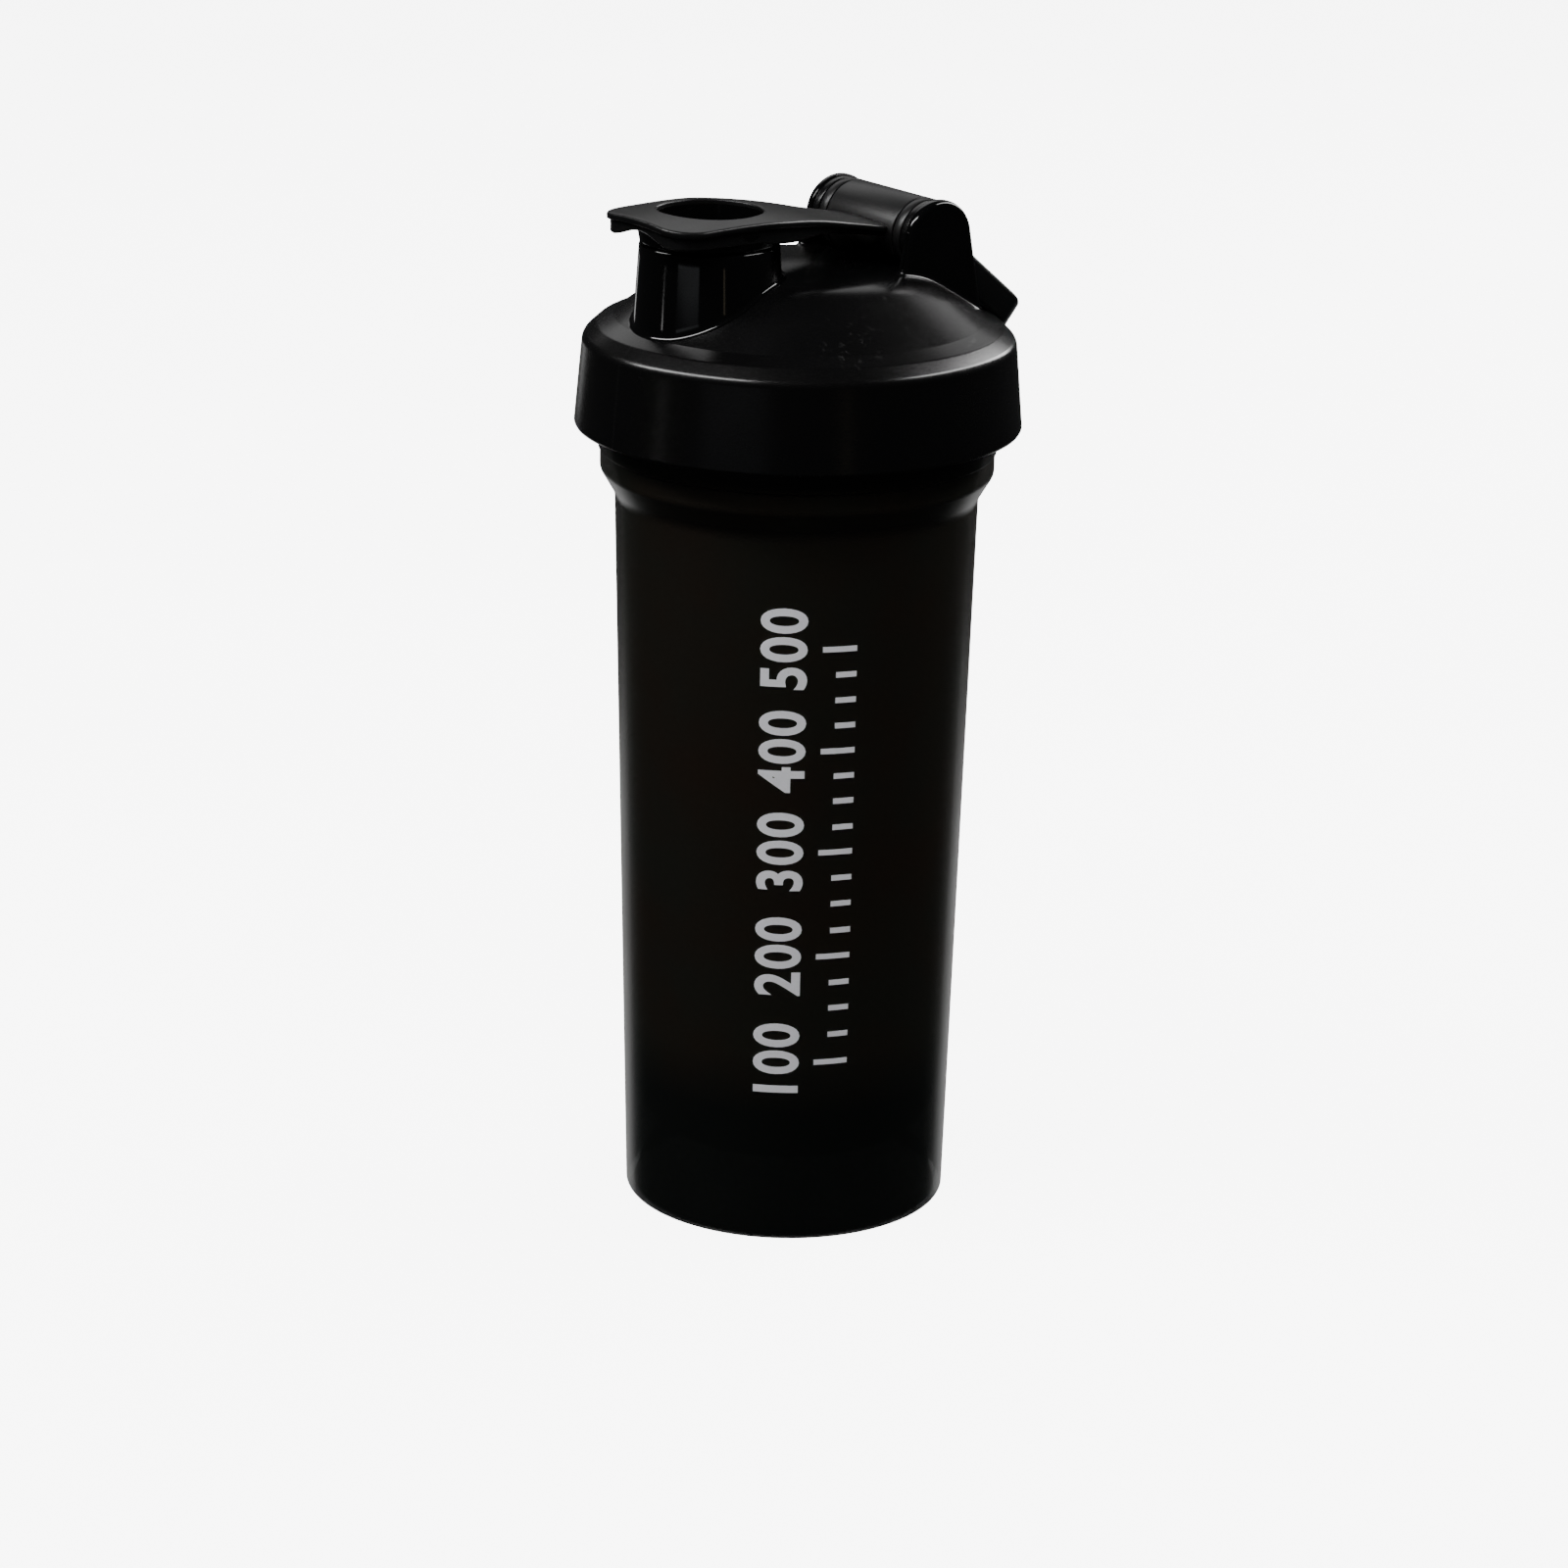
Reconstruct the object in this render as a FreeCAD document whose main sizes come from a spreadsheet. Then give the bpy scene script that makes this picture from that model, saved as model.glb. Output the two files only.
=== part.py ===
import FreeCAD, Part
import os
from math import cos, radians, sin
import Sketcher

# Flip-top protein shaker: cup, screw lid, flip cap, carry loop, seals and whisk ball.
# +Z is up and the base stands on z = 0 with its centre at the origin.
# The spout is towards -Y, and the hinge towards +Y, with its axle along X.

SIZES = {
    # cup
    "baseRadius": 36.3, "taperTopRadius": 40.0, "taperTopLevel": 163.2,
    "collarRadius": 43.3, "collarLevel": 168.8, "beadRadius": 43.7, "beadLevel": 173.4,
    "neckLevel": 180.5, "neckRadius": 43.0, "rimLevel": 197.0, "mouthRadius": 40.9,
    "cupWall": 1.8, "floorLevel": 15.0, "floorThick": 2.2, "floorRound": 13.0,
    "footWall": 2.2, "footDraft": 1.2, "footStep": 6.0, "baseRound": 0.5,
    "flareRound": 4.0, "collarRound": 2.2, "flareStep": 1.0, "mouthBlend": 3.0,
    # thread on the neck and in the lid
    "threadPitch": 5.0, "threadTurns": 1.25, "threadCrest": 0.5, "threadRoot": 1.1,
    "cupThreadLevel": 185.6, "cupThreadRadius": 44.5,
    "lidThreadLevel": 183.5, "lidThreadRadius": 43.5, "threadSink": 0.4,
    # lid
    "skirtLevel": 178.6, "skirtRadius": 48.7, "widestRadius": 49.0, "widestLevel": 179.1,
    "shoulderRadius": 47.3, "shoulderLevel": 198.0, "shoulderRound": 2.8,
    "crownRadius": 44.2, "crownLevel": 200.8, "valleyRadius": 40.5, "valleyLevel": 202.5,
    "domeRadius": 26.0, "domeLevel": 213.1, "domeTop": 214.8,
    "domeRound": 14.0, "lidBore": 45.2, "skirtBore": 46.6, "skirtStep": 0.5,
    "seatLevel": 198.8, "seatInner": 40.0, "lipInner": 38.9, "lipLevel": 195.0,
    "roofWall": 2.9, "roofFoot": 3.8,
    # spout
    "spoutY": -24.3, "spoutTopLevel": 221.2, "spoutFootLevel": 201.5,
    "spoutTopRadius": 15.1, "spoutFootRadius": 16.4, "boreRadius": 13.5,
    # hinge
    "hingeY": 23.4, "hingeLevel": 219.9, "barrelRadius": 8.1, "barrelHalf": 11.9,
    "eyeInner": 12.2, "eyeOuter": 14.7, "bossInner": 15.0, "postInner": 17.0,
    "postOuter": 19.4, "postRadius": 8.5, "postFoot": 204.0, "postFrontFoot": 11.2,
    "postBackFoot": 34.9, "pegRadius": 2.4, "pegHalf": 18.1,
    "socketRadius": 2.6, "socketHalf": 18.4, "troughRadius": 8.5,
    # flip cap
    "padFront": -43.4, "padHalf": 16.2, "padBack": -17.0, "padCorner": 7.5,
    "leverHalf": 10.2, "leverStart": 8.0, "leverEnd": 21.0, "leverRound": 34.0,
    "padTop": 228.9, "padCrown": 104.0, "padUnder": 223.2, "plateThick": 1.5,
    "frontTop": 228.1, "frontLip": 3.9,
    "skirtInset": 0.8, "skirtWall": 1.4, "skirtDrop": 0.4,
    "backTop": 228.6, "leverDip": 226.9, "leverDipY": -5.0, "leverMid": 224.3,
    "leverMidY": 7.0, "leverTop": 221.7,
    "leverUnder": 218.9, "capSink": 0.4, "archHalf": 10.5, "archRise": 2.6, "archDepth": 7.0,
    "collarOuter": 15.9, "collarFoot": 15.0, "collarUnder": 221.5,
    "plugRadius": 12.9, "plugFootRadius": 12.1, "plugLevel": 214.5,
    "recessRadius": 11.4, "recessFootRadius": 10.5, "recessLevel": 216.0,
    "sealLevel": 218.3, "sealHeight": 1.8, "sealRadius": 13.2, "sealGroove": 12.0,
    # carry loop
    "loopReach": 34.4, "loopUp": 4.0, "loopDown": 3.4, "loopBar": 3.2, "loopCorner": 6.0,
    "loopInnerCorner": 2.8, "loopTilt": -39.5, "loopGap": 0.4,
    # gasket
    "gasketInner": 40.9, "gasketOuter": 43.2,
    # whisk ball
    "ballRadius": 25.0, "wireRadius": 0.95, "ballLift": 0.35,
    # how far a cutting shape runs past what it cuts
    "over": 1.0,
}
BALL_TURNS = 7
BALL_LEAN = 28.0
BALL_HEADING = 40.0
BALL_POLE = 12.0

doc = FreeCAD.newDocument("Shaker")
sheet = doc.addObject("Spreadsheet::Sheet", "Sizes")
for row, (alias, value) in enumerate(SIZES.items(), start=1):
    sheet.set(f"A{row}", alias)
    sheet.set(f"B{row}", str(round(value, 4)))
    sheet.setAlias(f"B{row}", alias)
workings = doc.addObject("Spreadsheet::Sheet", "Workings")
doc.recompute()


def size(alias):
    """Value of one driving dimension, read from the sheet."""
    return float(sheet.get(alias))


def cell(expression):
    """Put the sheet's name before each alias in an expression."""
    words = []
    for word in expression.replace("(", "( ").replace(")", " )").split():
        words.append(f"Sizes.{word}" if word in SIZES else word)
    return " ".join(words)


def amount(expression):
    """Value of an expression on the driving dimensions, worked out in a spare sheet."""
    workings.set("A1", "=" + cell(expression))
    workings.recompute()
    return float(workings.get("A1"))


def bind(item, **rules):
    """Bind properties to expressions; a double underscore stands for a dot."""
    for name, rule in rules.items():
        item.setExpression(name.replace("__", "."), cell(rule))


def new_body(label):
    body = doc.addObject("PartDesign::Body", label)
    body.Label = label
    return body


def plane_of(body, role):
    return next(p for p in body.Origin.OriginFeatures if p.Role == role)


def new_sketch(body, name, role, offset=None):
    """A sketch on one of the body's own origin planes, moved along its normal if asked."""
    sketch = body.newObject("Sketcher::SketchObject", name)
    sketch.AttachmentSupport = (plane_of(body, role), [""])
    sketch.MapMode = "FlatFace"
    if offset:
        sketch.setExpression("AttachmentOffset.Base.z", cell(offset))
    return sketch


def outline(sketch, corners):
    """Close a loop of straight edges through corners given as pairs of expressions."""
    points = [FreeCAD.Vector(amount(u), amount(v), 0) for u, v in corners]
    count = len(points)
    for i in range(count):
        sketch.addGeometry(Part.LineSegment(points[i], points[(i + 1) % count]), False)
    for i in range(count):
        sketch.addConstraint(
            Sketcher.Constraint("Coincident", i, 2, (i + 1) % count, 1))
    for i, corner in enumerate(corners):
        for kind, rule, place in zip(("DistanceX", "DistanceY"), corner, points[i]):
            index = sketch.addConstraint(Sketcher.Constraint(kind, -1, 1, i, 1, place))
            sketch.setExpression(f"Constraints[{index}]", cell(rule))


def turned(body, name, corners, cut=False):
    """Turn an outline of (radius, height) corners about the vertical axis."""
    sketch = new_sketch(body, name + "Outline", "XZ_Plane")
    outline(sketch, corners)
    kind = "PartDesign::Groove" if cut else "PartDesign::Revolution"
    feature = body.newObject(kind, name)
    feature.Profile = sketch
    feature.ReferenceAxis = (sketch, ["V_Axis"])
    feature.Angle = 360
    doc.recompute()
    return feature


def ring_edges(shape, radius, height, near=0.05):
    """Names of the circular edges of this radius at this height about the vertical axis."""
    names = []
    for number, edge in enumerate(shape.Edges, start=1):
        curve = edge.Curve
        if not isinstance(curve, Part.Circle):
            continue
        if abs(curve.Radius - radius) < near and abs(curve.Center.z - height) < near:
            names.append(f"Edge{number}")
    return names


def rounded(body, name, base, edges, rule):
    """Fillet named edges of the body's last feature."""
    fillet = body.newObject("PartDesign::Fillet", name)
    fillet.Base = (base, edges)
    fillet.Radius = amount(rule)
    bind(fillet, Radius=rule)
    doc.recompute()
    return fillet


def round_ring(body, name, base, radius_rule, height_rule, rule):
    edges = ring_edges(base.Shape, amount(radius_rule), amount(height_rule))
    return rounded(body, name, base, edges, rule)


def solid_of(kind, name, **rules):
    """A Part primitive with its sizes bound to the sheet."""
    item = doc.addObject(kind, name)
    bind(item, **rules)
    return item


def along_x(item, half_rule, y_rule="hingeY", z_rule="hingeLevel"):
    """Lay a cylinder along X, centred on the axle or on the given line."""
    item.Placement = FreeCAD.Placement(
        FreeCAD.Vector(), FreeCAD.Rotation(FreeCAD.Vector(0, 1, 0), 90))
    bind(item, Height=f"2 * {half_rule}", Placement__Base__x=f"-1 * {half_rule}",
         Placement__Base__y=y_rule, Placement__Base__z=z_rule)
    return item


def joined(name, *items):
    item = doc.addObject("Part::MultiFuse", name)
    item.Shapes = list(items)
    item.Refine = False
    return item


def cut_from(name, base, tool):
    item = doc.addObject("Part::Cut", name)
    item.Base = base
    item.Tool = tool
    return item


def common_of(name, *items):
    item = doc.addObject("Part::MultiCommon", name)
    item.Shapes = list(items)
    return item


def thread(name, path_rule, tip_rule, level_rule):
    """A helical ridge whose root is sunk in the wall at one radius and whose tip is at the other."""
    helix = solid_of("Part::Helix", name + "Path", Pitch="threadPitch",
                     Height="threadPitch * threadTurns", Radius=path_rule,
                     Placement__Base__z=level_rule)
    path_radius, tip_radius = amount(path_rule), amount(tip_rule)
    level = amount(level_rule)
    root, crest = size("threadRoot"), size("threadCrest")
    ring = [(path_radius, root), (tip_radius, crest), (tip_radius, -crest), (path_radius, -root)]
    points = [FreeCAD.Vector(r, 0, level + rise) for r, rise in ring]
    section = doc.addObject("Part::Feature", name + "Section")
    section.Shape = Part.makePolygon(points + points[:1])
    sweep = doc.addObject("Part::Sweep", name)
    sweep.Sections = [section]
    sweep.Spine = (helix, ["Edge1"])
    sweep.Solid = True
    sweep.Frenet = True
    doc.recompute()
    return sweep


def make_cup():
    """Tapered cup with a raised, rounded floor, a collar, and a threaded neck."""
    body = new_body("cupBlank")
    blank = turned(body, "CupWall", [
        ("0", "0"), ("baseRadius", "0"), ("taperTopRadius", "taperTopLevel"),
        ("collarRadius", "collarLevel"), ("collarRadius", "beadLevel"),
        ("beadRadius", "beadLevel"), ("beadRadius", "neckLevel"),
        ("neckRadius", "neckLevel"), ("neckRadius", "rimLevel"), ("0", "rimLevel")])
    blank = round_ring(body, "FlareRound", blank, "taperTopRadius", "taperTopLevel", "flareRound")
    blank = round_ring(body, "CollarRound", blank, "collarRadius", "collarLevel", "collarRound")
    blank = round_ring(body, "BaseRound", blank, "baseRadius", "0", "baseRound")
    hollow = turned(body, "Hollow", [
        ("0", "floorLevel"), ("baseRadius - cupWall", "floorLevel"),
        ("taperTopRadius - cupWall", "taperTopLevel - flareStep"),
        ("mouthRadius", "collarLevel + mouthBlend"), ("mouthRadius", "rimLevel + over"),
        ("0", "rimLevel + over")], cut=True)
    hollow = round_ring(body, "FloorRound", hollow, "baseRadius - cupWall", "floorLevel",
                        "floorRound")
    foot = turned(body, "FootRecess", [
        ("0", "-1 * over"), ("baseRadius - footWall", "-1 * over"),
        ("baseRadius - footWall - footDraft", "footStep"),
        ("baseRadius - floorRound", "floorLevel - floorThick"),
        ("0", "floorLevel - floorThick")], cut=True)
    body.Tip = foot
    ridge = thread("NeckThread", "neckRadius - threadSink", "cupThreadRadius", "cupThreadLevel")
    return joined("cup", body, ridge)


def post_corners():
    """Corners of a hinge post below its round top, as (y, z)."""
    return [("hingeY - postRadius", "hingeLevel"), ("postFrontFoot", "postFoot"),
            ("postBackFoot", "postFoot"), ("hingeY + postRadius", "hingeLevel")]


def lid_corners():
    """Corners of the lid's outside, as (radius, height), from the skirt's foot to the dome."""
    return [("0", "skirtLevel"), ("skirtRadius", "skirtLevel"), ("widestRadius", "widestLevel"),
            ("shoulderRadius", "shoulderLevel"), ("crownRadius", "crownLevel"),
            ("valleyRadius", "valleyLevel"), ("domeRadius", "domeLevel"), ("0", "domeTop")]


def make_lid():
    """Screw lid: skirt, shoulder, dome, spout and two hinge posts with their bosses."""
    body = new_body("lidBlank")
    blank = turned(body, "LidOutside", lid_corners())
    blank = round_ring(body, "ShoulderRound", blank, "shoulderRadius", "shoulderLevel",
                       "shoulderRound")
    blank = round_ring(body, "DomeRound", blank, "domeRadius", "domeLevel", "domeRound")
    cone = solid_of("Part::Cone", "SpoutOutside", Radius1="spoutFootRadius",
                    Radius2="spoutTopRadius", Height="spoutTopLevel - spoutFootLevel",
                    Placement__Base__y="spoutY", Placement__Base__z="spoutFootLevel")
    plates = []
    for side, start in (("Right", "postInner"), ("Left", "-1 * postOuter")):
        plate = new_body(f"post{side}")
        sketch = new_sketch(plate, f"Post{side}Outline", "YZ_Plane", start)
        outline(sketch, post_corners())
        pad = plate.newObject("PartDesign::Pad", f"Post{side}")
        pad.Profile = sketch
        bind(pad, Length="postOuter - postInner")
        plates.append(plate)
    tops = along_x(solid_of("Part::Cylinder", "PostTops", Radius="postRadius"), "postOuter")
    between = along_x(solid_of("Part::Cylinder", "PostSpace", Radius="postRadius + over"),
                      "postInner")
    bosses = along_x(solid_of("Part::Cylinder", "Bosses", Radius="barrelRadius"), "postInner")
    inside = along_x(solid_of("Part::Cylinder", "BossSpace", Radius="barrelRadius + over"),
                     "bossInner")
    outside = joined("LidSolid", body, cone, *plates,
                     cut_from("PostHeads", tops, between), cut_from("BossPair", bosses, inside))
    cavity = new_body("lidCavity")
    turned(cavity, "Cavity", [
        ("0", "skirtLevel - over"), ("skirtBore", "skirtLevel - over"),
        ("lidBore", "neckLevel + skirtStep"),
        ("lidBore", "seatLevel"), ("seatInner", "seatLevel"), ("seatInner", "lipLevel"),
        ("lipInner", "lipLevel"), ("lipInner", "valleyLevel - roofFoot"),
        ("domeRadius - over", "domeLevel - roofWall"), ("0", "domeTop - roofWall")])
    bore = solid_of("Part::Cylinder", "SpoutBore", Radius="boreRadius",
                    Height="spoutTopLevel - lipLevel", Placement__Base__y="spoutY",
                    Placement__Base__z="lipLevel + over")
    trough = along_x(solid_of("Part::Cylinder", "BarrelTrough", Radius="troughRadius"),
                     "bossInner")
    sockets = along_x(solid_of("Part::Cylinder", "PegSockets", Radius="socketRadius"),
                      "socketHalf")
    cuts = joined("LidCuts", cavity, bore, trough, sockets)
    shell = cut_from("LidHollow", outside, cuts)
    ridge = thread("LidThread", "lidBore + threadSink", "lidThreadRadius", "lidThreadLevel")
    return joined("lid_shell", shell, ridge)


def make_gasket():
    """Flat soft ring between the cup's rim and its seat in the lid."""
    body = new_body("neck_gasket")
    turned(body, "Gasket", [
        ("gasketInner", "rimLevel"), ("gasketOuter", "rimLevel"),
        ("gasketOuter", "seatLevel"), ("gasketInner", "seatLevel")])
    return body


def cap_blank(name, inset, drop, under=None):
    """A block in the plan of the pad and lever, pulled in by inset and lowered by drop.

    Its underside runs at a fixed thickness below its top, or at the skirt's foot less under.
    """
    plan = new_body(name + "Plan")
    sketch = new_sketch(plan, name + "PlanOutline", "XY_Plane", "spoutFootLevel")
    right = [(f"padHalf - {inset}", f"padFront + {inset}"), (f"padHalf - {inset}", "padBack"),
             (f"leverHalf - {inset}", "leverStart"), (f"leverHalf - {inset}", "leverEnd")]
    left = [(f"-1 * ( {u} )", v) for u, v in reversed(right)]
    outline(sketch, right + left)
    pad = plan.newObject("PartDesign::Pad", name + "Block")
    pad.Profile = sketch
    bind(pad, Length="padTop - spoutFootLevel + over")
    doc.recompute()
    front = upright_edges(pad.Shape, amount(f"padFront + {inset}"))
    tip = rounded(plan, name + "Corners", pad, front, f"padCorner - {inset}")
    for step, rule in (("Hips", "padBack"), ("Waist", "leverStart")):
        edges = upright_edges(tip.Shape, amount(rule))
        tip = rounded(plan, name + step, tip, edges, "leverRound")
    plan.Tip = tip
    side = new_body(name + "Side")
    sketch = new_sketch(side, name + "SideOutline", "YZ_Plane", "-1 * padHalf - over")
    top = [("padFront - over", "frontTop"), ("spoutY", "padTop"), ("padBack", "backTop"),
           ("leverDipY", "leverDip"), ("leverMidY", "leverMid"), ("leverEnd", "leverTop")]
    if under is None:
        foot = [(y, f"{z} - plateThick") for y, z in reversed(top)]
        foot[-1] = ("padFront - over", "frontTop - frontLip")
    else:
        foot = [("leverEnd", f"leverUnder - {under}"), ("leverDipY", f"padUnder - {under}"),
                ("padFront - over", f"padUnder - {under}")]
    outline(sketch, [(y, f"{z} - {drop}") for y, z in top] + foot)
    pad = side.newObject("PartDesign::Pad", name + "SideBlock")
    pad.Profile = sketch
    bind(pad, Length="2 * ( padHalf + over )")
    crown = solid_of("Part::Cylinder", name + "Crown", Radius=f"padCrown - {drop}",
                     Height="leverEnd - padFront + 2 * over", Placement__Base__y="leverEnd + over",
                     Placement__Base__z="padTop - padCrown")
    crown.Placement.Rotation = FreeCAD.Rotation(FreeCAD.Vector(1, 0, 0), 90)
    return common_of(name, plan, side, crown)


def upright_edges(shape, y):
    """Names of the vertical straight edges at this y."""
    names = []
    for number, edge in enumerate(shape.Edges, start=1):
        if not isinstance(edge.Curve, Part.Line):
            continue
        upright = abs(edge.Curve.Direction.z) > 0.99
        if upright and abs(edge.CenterOfMass.y - y) < 0.05:
            names.append(f"Edge{number}")
    return names


def make_flip_cap():
    """Flip cap: thin crowned pad with a skirt, its plug cup, the lever and the hinge barrel."""
    plate = cap_blank("CapPlate", "0", "0")
    skirt = cap_blank("CapSkirt", "skirtInset", "skirtDrop", "0")
    hollow = cap_blank("CapInside", "( skirtInset + skirtWall )", "plateThick", "over")
    skin = cut_from("CapSkin", joined("CapOutside", plate, skirt), hollow)
    collar = solid_of("Part::Cone", "CapCollar", Radius1="collarFoot", Radius2="collarOuter",
                      Height="padTop - plateThick - collarUnder - capSink",
                      Placement__Base__y="spoutY", Placement__Base__z="collarUnder")
    plug = solid_of("Part::Cone", "Plug", Radius1="plugFootRadius", Radius2="plugRadius",
                    Height="padTop - plateThick - plugLevel - capSink", Placement__Base__y="spoutY",
                    Placement__Base__z="plugLevel")
    barrel = along_x(solid_of("Part::Cylinder", "Barrel", Radius="barrelRadius"), "barrelHalf")
    pegs = along_x(solid_of("Part::Cylinder", "Pegs", Radius="pegRadius"), "pegHalf")
    whole = joined("CapWhole", skin, collar, plug, barrel, pegs)
    recess = solid_of("Part::Cone", "PlugRecess", Radius1="recessFootRadius",
                      Radius2="recessRadius", Height="padTop - recessLevel + over",
                      Placement__Base__y="spoutY", Placement__Base__z="recessLevel")
    groove_outer = solid_of("Part::Cylinder", "GrooveOutside", Radius="collarOuter",
                            Height="sealHeight", Placement__Base__y="spoutY",
                            Placement__Base__z="sealLevel")
    groove_core = solid_of("Part::Cylinder", "GrooveCore", Radius="sealGroove",
                           Height="sealHeight + 2 * over", Placement__Base__y="spoutY",
                           Placement__Base__z="sealLevel - over")
    groove = cut_from("SealGroove", groove_outer, groove_core)
    arch = solid_of("Part::Cylinder", "ThumbArch", Radius="archHalf", Height="archDepth",
                    Placement__Base__y="padFront + archDepth - over",
                    Placement__Base__z="padUnder - archHalf + archRise")
    arch.Placement.Rotation = FreeCAD.Rotation(FreeCAD.Vector(1, 0, 0), 90)
    cuts = joined("CapCuts", recess, groove, arch)
    return cut_from("flip_cap", whole, cuts)


def make_spout_seal():
    """Soft ring held in the plug's groove."""
    outer = solid_of("Part::Cylinder", "SealOutside", Radius="sealRadius", Height="sealHeight",
                     Placement__Base__y="spoutY", Placement__Base__z="sealLevel")
    inner = solid_of("Part::Cylinder", "SealInside", Radius="sealGroove",
                     Height="sealHeight + 2 * over", Placement__Base__y="spoutY",
                     Placement__Base__z="sealLevel - over")
    return cut_from("spout_seal", outer, inner)


def make_carry_loop():
    """Flat U-shaped band with an eye at each end, hung on the cap's pegs."""
    body = new_body("loopBand")
    sketch = new_sketch(body, "LoopOutline", "XY_Plane", "-1 * loopDown")
    outline(sketch, [
        ("-1 * eyeOuter", "0"), ("-1 * eyeOuter", "loopReach"), ("eyeOuter", "loopReach"),
        ("eyeOuter", "0"), ("eyeInner", "0"), ("eyeInner", "loopReach - loopBar"),
        ("-1 * eyeInner", "loopReach - loopBar"), ("-1 * eyeInner", "0")])
    pad = body.newObject("PartDesign::Pad", "LoopBand")
    pad.Profile = sketch
    bind(pad, Length="loopUp + loopDown")
    doc.recompute()
    outer = upright_edges(pad.Shape, size("loopReach"))
    corners = rounded(body, "LoopCorners", pad, outer, "loopCorner")
    inner = upright_edges(corners.Shape, amount("loopReach - loopBar"))
    body.Tip = rounded(body, "LoopInnerCorners", corners, inner, "loopInnerCorner")
    discs = along_x(solid_of("Part::Cylinder", "EyeDiscs", Radius="barrelRadius"),
                    "eyeOuter", "0", "0")
    space = along_x(solid_of("Part::Cylinder", "EyeSpace", Radius="barrelRadius + over"),
                    "eyeInner", "0", "0")
    holes = along_x(solid_of("Part::Cylinder", "EyeHoles", Radius="socketRadius"),
                    "postInner", "0", "0")
    eyes = cut_from("Eyes", discs, space)
    loop = cut_from("LoopWhole", joined("LoopSolid", body, eyes), holes)
    loop.Placement.Rotation = FreeCAD.Rotation(FreeCAD.Vector(1, 0, 0), size("loopTilt"))
    bind(loop, Placement__Base__y="hingeY", Placement__Base__z="hingeLevel")
    nest = new_body("loopNest")
    turned(nest, "Nest", [(f"{r} + loopGap", f"{z} + loopGap") if r != "0" else (r, z)
                          for r, z in lid_corners()])
    return cut_from("carry_loop", loop, nest)


def make_whisk_ball():
    """One wire wound into a ball: half turns of growing, then shrinking radius, tangent in line."""
    radius, wire = size("ballRadius"), size("wireRadius")
    steps = 2 * BALL_TURNS
    ends = []
    for i in range(steps + 1):
        angle = radians(BALL_POLE + (180 - 2 * BALL_POLE) * i / steps)
        side = 1 if i % 2 == 0 else -1
        ends.append(FreeCAD.Vector(side * radius * sin(angle), 0, -radius * cos(angle)))
    arcs = []
    for i, (start, end) in enumerate(zip(ends, ends[1:])):
        middle = (start + end) * 0.5
        out = FreeCAD.Vector(0, 1 if i % 2 == 0 else -1, 0) * ((end - start).Length / 2)
        arcs.append(Part.Arc(start, middle + out, end).toShape())
    path = Part.Wire(arcs)
    circle = Part.Circle(ends[0], FreeCAD.Vector(0, 1, 0), wire)
    section = Part.Wire(circle.toShape())
    ball = doc.addObject("Part::Feature", "whisk_ball")
    ball.Shape = path.makePipeShell([section], True, False)
    turn = FreeCAD.Rotation(FreeCAD.Vector(0, 0, 1), BALL_HEADING)
    turn = turn.multiply(FreeCAD.Rotation(FreeCAD.Vector(1, 0, 0), BALL_LEAN))
    lift = size("floorLevel") + radius + wire + size("ballLift")
    ball.Placement = FreeCAD.Placement(FreeCAD.Vector(0, 0, lift), turn)
    return ball


parts = {
    "cup": make_cup(),
    "lid_shell": make_lid(),
    "neck_gasket": make_gasket(),
    "flip_cap": make_flip_cap(),
    "spout_seal": make_spout_seal(),
    "carry_loop": make_carry_loop(),
    "whisk_ball": make_whisk_ball(),
}
for label, item in parts.items():
    item.Label = label
doc.recompute()

faults = [f"{o.Name}: {o.State}" for o in doc.Objects
          if "Invalid" in o.State or "Error" in o.State]
for label, item in parts.items():
    shape = item.Shape
    if shape.isNull() or not shape.isValid() or len(shape.Solids) != 1:
        faults.append(f"{label}: null, not valid or not one solid")
if faults:
    raise RuntimeError("; ".join(faults))

os.makedirs("parts", exist_ok=True)
for label, item in parts.items():
    item.Shape.exportStep(f"parts/{label}.step")
    box = item.Shape.BoundBox
    print(f"{label}: {item.Shape.Volume / 1000:.2f} cm3, z {box.ZMin:.2f} to {box.ZMax:.2f}")
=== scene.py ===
from math import atan2, cos, hypot, pi, radians, sin, tan

import bmesh
import bpy
from mathutils import Matrix, Vector


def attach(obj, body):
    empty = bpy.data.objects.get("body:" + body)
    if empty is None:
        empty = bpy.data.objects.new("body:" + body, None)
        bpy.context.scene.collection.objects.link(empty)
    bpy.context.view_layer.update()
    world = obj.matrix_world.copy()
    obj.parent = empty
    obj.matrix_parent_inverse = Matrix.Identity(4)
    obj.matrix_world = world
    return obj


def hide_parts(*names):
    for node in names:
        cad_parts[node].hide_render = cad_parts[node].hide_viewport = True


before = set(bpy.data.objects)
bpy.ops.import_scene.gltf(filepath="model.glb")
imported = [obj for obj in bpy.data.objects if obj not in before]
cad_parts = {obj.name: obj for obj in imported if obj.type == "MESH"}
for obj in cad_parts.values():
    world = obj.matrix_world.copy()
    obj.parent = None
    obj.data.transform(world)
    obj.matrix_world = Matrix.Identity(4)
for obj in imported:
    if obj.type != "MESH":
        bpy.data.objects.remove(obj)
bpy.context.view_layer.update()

# Flip-top shaker bottle. Lengths are in millimetres until a mesh is made.
# +Z is up, the spout is towards -Y, and the hinge is towards +Y with its axle along X.
mm = 0.001
print("stage 1: frame loaded")


cameraPlace = {"azimuth": 53.5, "distance": 989.6, "height": 420.6, "pitch": 18.206,
               "yaw": -0.091, "roll": 1.053, "lens": 106.52, "sensor": 36, "clipEnd": 20}
facing = radians(cameraPlace["azimuth"])


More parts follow.
